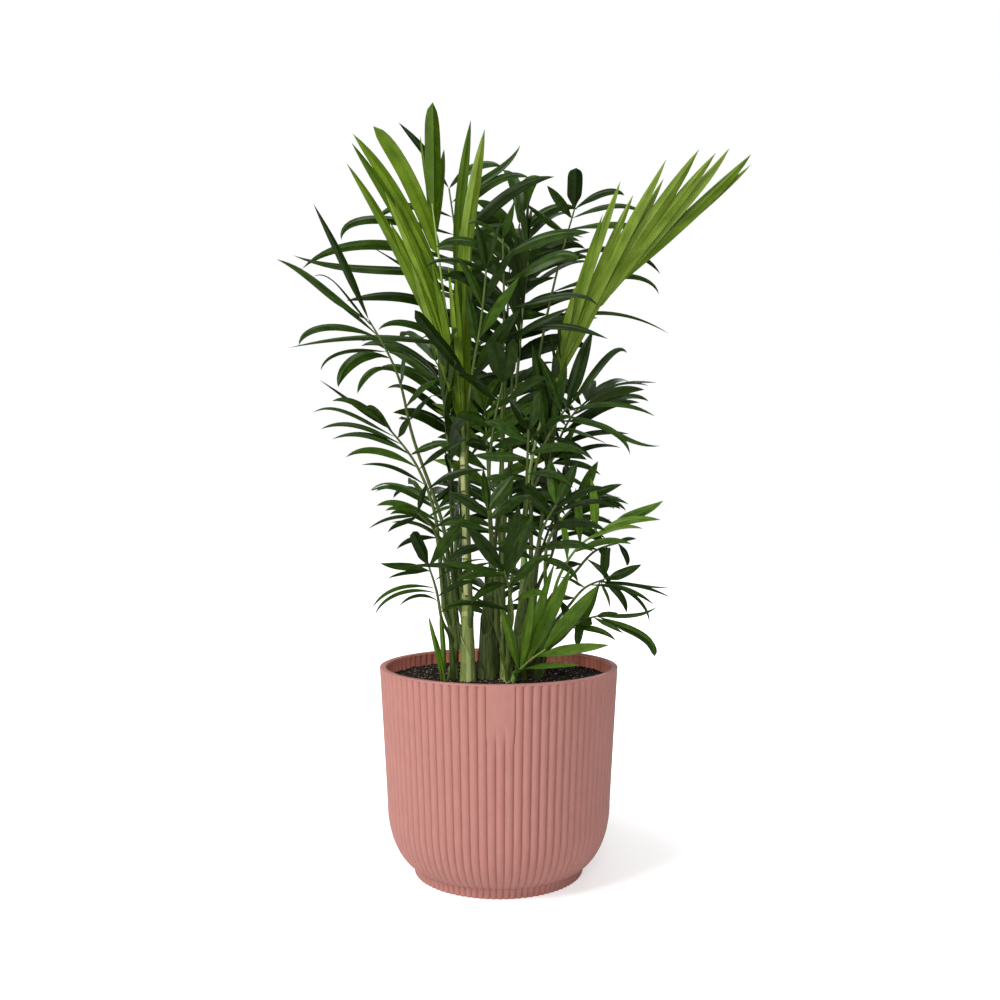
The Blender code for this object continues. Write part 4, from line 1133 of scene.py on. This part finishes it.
def leaflet_faces():
    """Faces of one leaflet, a closed spindle whose sides share their edges: the upper half, then the lower."""
    columns = len(LEAFLET_PLACES)
    inner = columns - 2
    start = LEAFLET_ROWS * columns
    upper = [[row * columns + c for c in range(columns)] for row in range(LEAFLET_ROWS)]
    inside = [range(first, first + inner) for first in range(start, start + LEAFLET_ROWS * inner, inner)]
    lower = [[row[0], *between, row[-1]] for row, between in zip(upper, inside)]
    base = start + LEAFLET_ROWS * inner
    tip = base + 1
    faces = []
    for rows, turned in ((upper, 1), (lower, -1)):
        for c in range(columns - 1):
            left, right = (c, c + 1)[::turned]
            faces.append((base, rows[0][right], rows[0][left]))
            faces += [(low[left], low[right], high[right], high[left]) for low, high in zip(rows, rows[1:])]
            faces.append((rows[-1][left], rows[-1][right], tip))
    return faces


def leaflet_map(strip, strips):
    """Corner map places of one leaflet: two upright strips of the piece's own map."""
    heights = [row / (LEAFLET_ROWS + 1) for row in range(1, LEAFLET_ROWS + 1)]
    spots = [(across, height) for height in heights for across in LEAFLET_PLACES]
    spots += [(across, height) for height in heights for across in LEAFLET_PLACES[1:-1]]
    spots += [(0.0, 0.0), (0.0, 1.0)]
    rise = 1 - 2 * STRIP_MARGIN
    places = []
    for number, face in enumerate(LEAFLET_FACES):
        left = (2 * strip + number // UPPER_FACES) / strips
        for across, height in (spots[corner] for corner in face):
            places.append((left + (0.5 + STRIP_HALF * across) / strips, STRIP_MARGIN + rise * height))
    return places


def unit(vectors):
    return vectors / np.linalg.norm(vectors, axis=-1, keepdims=True)


def bezier(corners, t):
    """Points of a curve through four corners, and its direction at each."""
    a, b, c, d = (np.array(corner) for corner in corners)
    points = a * (1 - t) ** 3 + b * 3 * t * (1 - t) ** 2 + c * 3 * t**2 * (1 - t) + d * t**3
    along = (b - a) * (1 - t) ** 2 + (c - b) * 2 * t * (1 - t) + (d - c) * t**2
    return points, unit(along)


def leaflet_shape(base, reach, normal, form, rng):
    """Points of one leaflet: it leaves above the line to its tip and droops towards it."""
    length = reach.length
    way = reach.normalized()
    lift = UP - way * way.dot(UP)
    lift = lift.normalized() if lift.length > LEAST_LIFT else Vector(normal)
    rise, droop = math.radians(form.rise), math.radians(form.droop)
    start = way * math.cos(rise) + lift * math.sin(rise)
    finish = way * math.cos(droop) - lift * math.sin(droop)
    early = EARLY_PULL[0] + EARLY_PULL[1] * max(0.0, math.sin(droop))
    late = LATE_PULL[0] - LATE_PULL[1] * max(0.0, math.sin(droop) - LATE_PULL[2])
    corners = (base, base + start * length * early, base + reach - finish * length * late, base + reach)
    t = np.linspace(0, 1, LEAFLET_ROWS + 2)[:, None]
    middle, along = bezier(corners, t)
    out = np.array(normal)[None, :]
    out = unit(out - along * (out * along).sum(1, keepdims=True))
    across = np.cross(along, out)
    roll = math.radians(rng.gauss(0, form.roll)) + math.radians(rng.gauss(0, form.roll * ROLL_ON)) * t
    out, across = out * np.cos(roll) + across * np.sin(roll), across * np.cos(roll) - out * np.sin(roll)
    t = t[1:-1]
    start_width, full, taper = ENDS[form.end]
    widening = np.minimum(t / WIDENS_TO, 1)
    widening = start_width + (1 - start_width) * widening * widening * (3 - 2 * widening)
    narrowing = np.clip(1 - np.clip((t - NARROWS_FROM) / (1 - NARROWS_FROM), 0, 1) ** full, 0, 1) ** taper
    half = np.maximum(form.width / 2 * widening * narrowing, LEAST_HALF_WIDTH)
    least, near, far = FOLD_ALONG
    fold = form.fold * (least + near * (1 - t) ** 4 + far * t**3)
    places = np.array(LEAFLET_PLACES)[None, :, None]
    pleats = np.array(LEAFLET_PLEATS)[None, :, None]
    middle, out, across = (part[1:-1, None, :] for part in (middle, out, across))
    half, fold = half[:, :, None], fold[:, :, None]
    side = np.cos(np.arctan(fold))
    lift = pleats - np.abs(places) * np.sin(np.arctan(fold))
    upper = middle + across * (places * half * side) + out * (half * lift)
    below = (1 - places**2) * LEAFLET_THICKNESS
    lower = (upper - out * below)[:, 1:-1]
    return np.concatenate([upper.reshape(-1, 3), lower.reshape(-1, 3), [corners[0], corners[3]]])


def add_leaflet(base, reach, normal, form, rng, points, faces):
    """Adds one leaflet to a piece's points and faces."""
    start = len(points)
    points += list(leaflet_shape(base, reach, normal, form, rng))
    faces += [tuple(start + corner for corner in face) for face in LEAFLET_FACES]


def seen_place(x, y, z):
    """The place, y mm behind the pot's axis, that looks x mm right of it and z mm high."""
    plane = Vector((x / 1000, 0, z / 1000))
    return EYE + (plane - EYE) * (1 - y / 1000 / EYE.y)


def seen_leaflets(frond, spine):
    """The leaflets of a frond that are given one by one: start, reach, upper side and form."""
    kind = KINDS[frond.kind]
    plain_end = "sword" if kind.shades == "spear" else "fine"
    for share, x, z, y, rise, droop, width, *end in SEEN[frond.name]:
        base, _ = on_curve(spine, 2 + 2 * share)
        reach = seen_place(x, y, z) - base
        form = Form(rise, droop, width / 1000 * SEEN_WIDENING, kind.fold, kind.roll, *(end or [plain_end]))
        way = reach.normalized()
        yield base, reach, (SEEN_FACES - way * way.dot(SEEN_FACES)).normalized(), form


def grown_leaflets(frond, spine, rng):
    """Leaflets in pairs along a frond, by its kind: start, reach, upper side and form."""
    kind = KINDS[frond.kind]
    for number in range(kind.pairs * 2):
        pair, side = divmod(number, 2)
        side = side * 2 - 1
        share = pair / (kind.pairs - 1)
        if 0 < pair < kind.pairs - 1:
            share += (side * SIDES_APART + rng.uniform(-PLACE_VARIES, PLACE_VARIES)) / kind.pairs
        base, along = on_curve(spine, 2 + 2 * share)
        _, upper = axes(frond, along)
        reach = leaflet_reach(frond, share, side, along) * rng.uniform(*LENGTH_VARIES)
        swing = Vector([rng.gauss(0, SWING) for _ in range(3)]) * reach.length
        reach = (reach + swing).normalized() * reach.length
        width = kind.width * frond.leaf * rng.uniform(*WIDTH_VARIES)
        if pair == kind.pairs - 1:
            width *= LAST_PAIR_WIDER
        rise = kind.rise * rng.uniform(*RISE_VARIES)
        droop = kind.droop * rng.uniform(*DROOP_VARIES)
        normal = (upper - along * TURN_BACK + UP * TURN_UP).normalized()
        yield base, reach, normal, Form(rise, droop, width, kind.fold, kind.roll, kind.end)


def shade_mix(frond, kind):
    """How often each shade of its kind is dealt out in this frond."""
    if frond.name in SHADED:
        return SHADED_MIX
    return SUNLIT_MIX if frond.name in SUNLIT else SHADE_MIX[kind.shades]


def make_leaflets(frond, index, materials):
    """All leaflets of a frond as one piece, each in one of its kind's shades."""
    kind = KINDS[frond.kind]
    rng = Random(FROND_SEEDS + index)
    spine = spine_of(frond)
    made = list(seen_leaflets(frond, spine) if frond.name in SEEN else grown_leaflets(frond, spine, rng))
    points, faces, slots, maps = [], [], [], []
    for number, leaflet in enumerate(made):
        add_leaflet(*leaflet, rng, points, faces)
        shade = rng.choices((0, 1, 2), shade_mix(frond, kind))[0]
        slots += [shade * 2] * UPPER_FACES + [shade * 2 + 1] * UPPER_FACES
        maps += leaflet_map(number, len(made) * 2)
    piece = new_object(frond.name.replace("frond", "leaflets"), points, faces, materials, slots)
    layer = piece.data.uv_layers.new(name="OFBake")
    layer.data.foreach_set("uv", [value for spot in maps for value in spot])
    place(piece, LEAF_SLOTS[kind.shades], frond.name)


def make_rib(frond, material):
    """A frond's stalk and rib as one tapering tube, which grows out of its stem."""
    spine = spine_of(frond)
    stem = STEM_NAMED[frond.stem]
    centres, radii = [], []
    if frond.side is None:
        centres.append(stem_centre(stem, frond.height - STALK_SUNK))
        radii.append(STALK_RADIUS)
    else:
        edge = spine[0] - stem_centre(stem, frond.height)
        for below, share in STALK_FOOT:
            middle = stem_centre(stem, max(frond.height - below, STALK_LOWEST))
            centres.append(middle + edge * share)
            radii.append(STALK_RADIUS * STALK_FOOT_WIDER)
    for on in spread(0, 4, RIB_ROWS + 1):
        if on < 2:
            swell = STALK_SWELL * math.exp(-SWELL_FADE * on)
            radius = STALK_RADIUS + (NECK_RADIUS - STALK_RADIUS) * on / 2 + swell
        else:
            radius = NECK_RADIUS + (RIB_END_RADIUS - NECK_RADIUS) * (on - 2) / 2
        centres.append(on_curve(spine, on)[0])
        radii.append(radius)
    rib = new_object(frond.name.replace("frond", "rib"), *tube(centres, radii, RIB_SIDES), [material])
    place(rib, "stem", frond.name)


def leaf_materials(kind):
    """The upper and lower side of each shade of a kind, in turn."""
    rough = LEAF_ROUGHNESS[kind]
    made = []
    for number, shade in enumerate(SHADES[kind]):
        faint = tuple(value * UNDER_STREAKS for value in shade.under)
        name = f"{kind}_{number}"
        made.append(leaf_material(name + "_upper", shade.dark, shade.light, rough, UPPER_SHINE))
        made.append(leaf_material(name + "_lower", faint, shade.under, rough + UNDER_ROUGHER, UNDER_SHINE))
    return made


def make_plant():
    """Stems, ribs and leaflets."""
    leaf = {kind: leaf_materials(kind) for kind in SHADES}
    stalks = {name: stalk_material(name) for name in STALK_COLOURS}
    for index, stem in enumerate(STEMS):
        rng = Random(STEM_SEEDS + index)
        tone = "pale" if stem.name in PALE_STEMS else "deep"
        cane, sheath, margin = (stalks[f"{piece}_{tone}"] for piece in ("cane", "sheath", "margin"))
        if stem.name == "shoot_left":
            make_shoot(stem, leaf["fresh"][2:4])
            make_scales(stem, [sheath, margin], rng)
            continue
        make_cane(stem, [cane, stalks["cane_ring"], stalks["cane_band"]], rng)
        make_sheaths(stem, [sheath, margin, stalks["dry_edge"]], rng)
        make_scales(stem, [sheath, stalks["dry_edge"]], rng)
    for index, frond in enumerate(FRONDS):
        shades = KINDS[frond.kind].shades
        make_rib(frond, stalks[STALK_OF[shades]])
        make_leaflets(frond, index, leaf[shades])


# Stage


def add_area_light(name, location, size, power):
    data = bpy.data.lights.new(name, "AREA")
    data.shape = "DISK"
    data.size = size
    data.energy = power
    lamp = bpy.data.objects.new(name, data)
    lamp.location = location
    lamp.rotation_euler = (Vector(LIT_PLACE) - Vector(location)).to_track_quat("-Z", "Y").to_euler()
    bpy.context.scene.collection.objects.link(lamp)


def make_surround():
    """A white surround, which lights the plant less than its own white and least from the right."""
    world = bpy.data.worlds.new("surround")
    world.use_nodes = True
    tree = world.node_tree
    seen = tree.nodes["Background"]
    seen.inputs["Color"].default_value = (1, 1, 1, 1)
    lighting = tree.nodes.new("ShaderNodeBackground")
    lighting.inputs["Strength"].default_value = SURROUND_LIGHT
    directions = tree.nodes.new("ShaderNodeTexCoord")
    split = tree.nodes.new("ShaderNodeSeparateXYZ")
    tree.links.new(directions.outputs["Generated"], split.inputs["Vector"])
    shade = map_range(tree, split.outputs["X"], SURROUND_SPAN, SURROUND_SHADE)
    tree.links.new(shade.outputs["Result"], lighting.inputs["Color"])
    rays = tree.nodes.new("ShaderNodeLightPath")
    mix = tree.nodes.new("ShaderNodeMixShader")
    tree.links.new(rays.outputs["Is Camera Ray"], mix.inputs["Fac"])
    tree.links.new(lighting.outputs["Background"], mix.inputs[1])
    tree.links.new(seen.outputs["Background"], mix.inputs[2])
    tree.links.new(mix.outputs["Shader"], tree.nodes["World Output"].inputs["Surface"])
    bpy.context.scene.world = world


def make_stage():
    """A pale floor, a white surround, soft lights and the camera."""
    scene = bpy.context.scene
    scene.view_settings.view_transform = "Standard"
    half = STAGE_SIDE / 2
    corners = [(-half, -half, 0), (half, -half, 0), (half, half, 0), (-half, half, 0)]
    new_object("floor", corners, [(0, 1, 2, 3)], [floor_material()])
    make_surround()
    for light in LIGHTS:
        add_area_light(*light)
    camera = bpy.data.cameras.new("camera")
    camera.lens = CAMERA_LENS
    camera.sensor_width = CAMERA_SENSOR
    camera.clip_start = 0.01
    view = bpy.data.objects.new("camera", camera)
    view.location = EYE
    view.rotation_euler = (CAMERA_TILT, 0, 0)
    scene.collection.objects.link(view)
    scene.camera = view


STEM_NAMED = {stem.name: stem for stem in STEMS}
LEAFLET_FACES = leaflet_faces()
UPPER_FACES = len(LEAFLET_FACES) // 2

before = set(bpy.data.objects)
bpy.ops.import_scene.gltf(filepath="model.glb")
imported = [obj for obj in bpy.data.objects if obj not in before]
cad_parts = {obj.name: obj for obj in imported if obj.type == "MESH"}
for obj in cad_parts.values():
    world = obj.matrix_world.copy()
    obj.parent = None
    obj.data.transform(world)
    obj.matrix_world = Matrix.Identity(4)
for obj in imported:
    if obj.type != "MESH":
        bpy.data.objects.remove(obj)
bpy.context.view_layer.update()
make_stage()
make_pot()
make_soil()
for bits in BITS:
    make_bits(*bits)
make_plant()
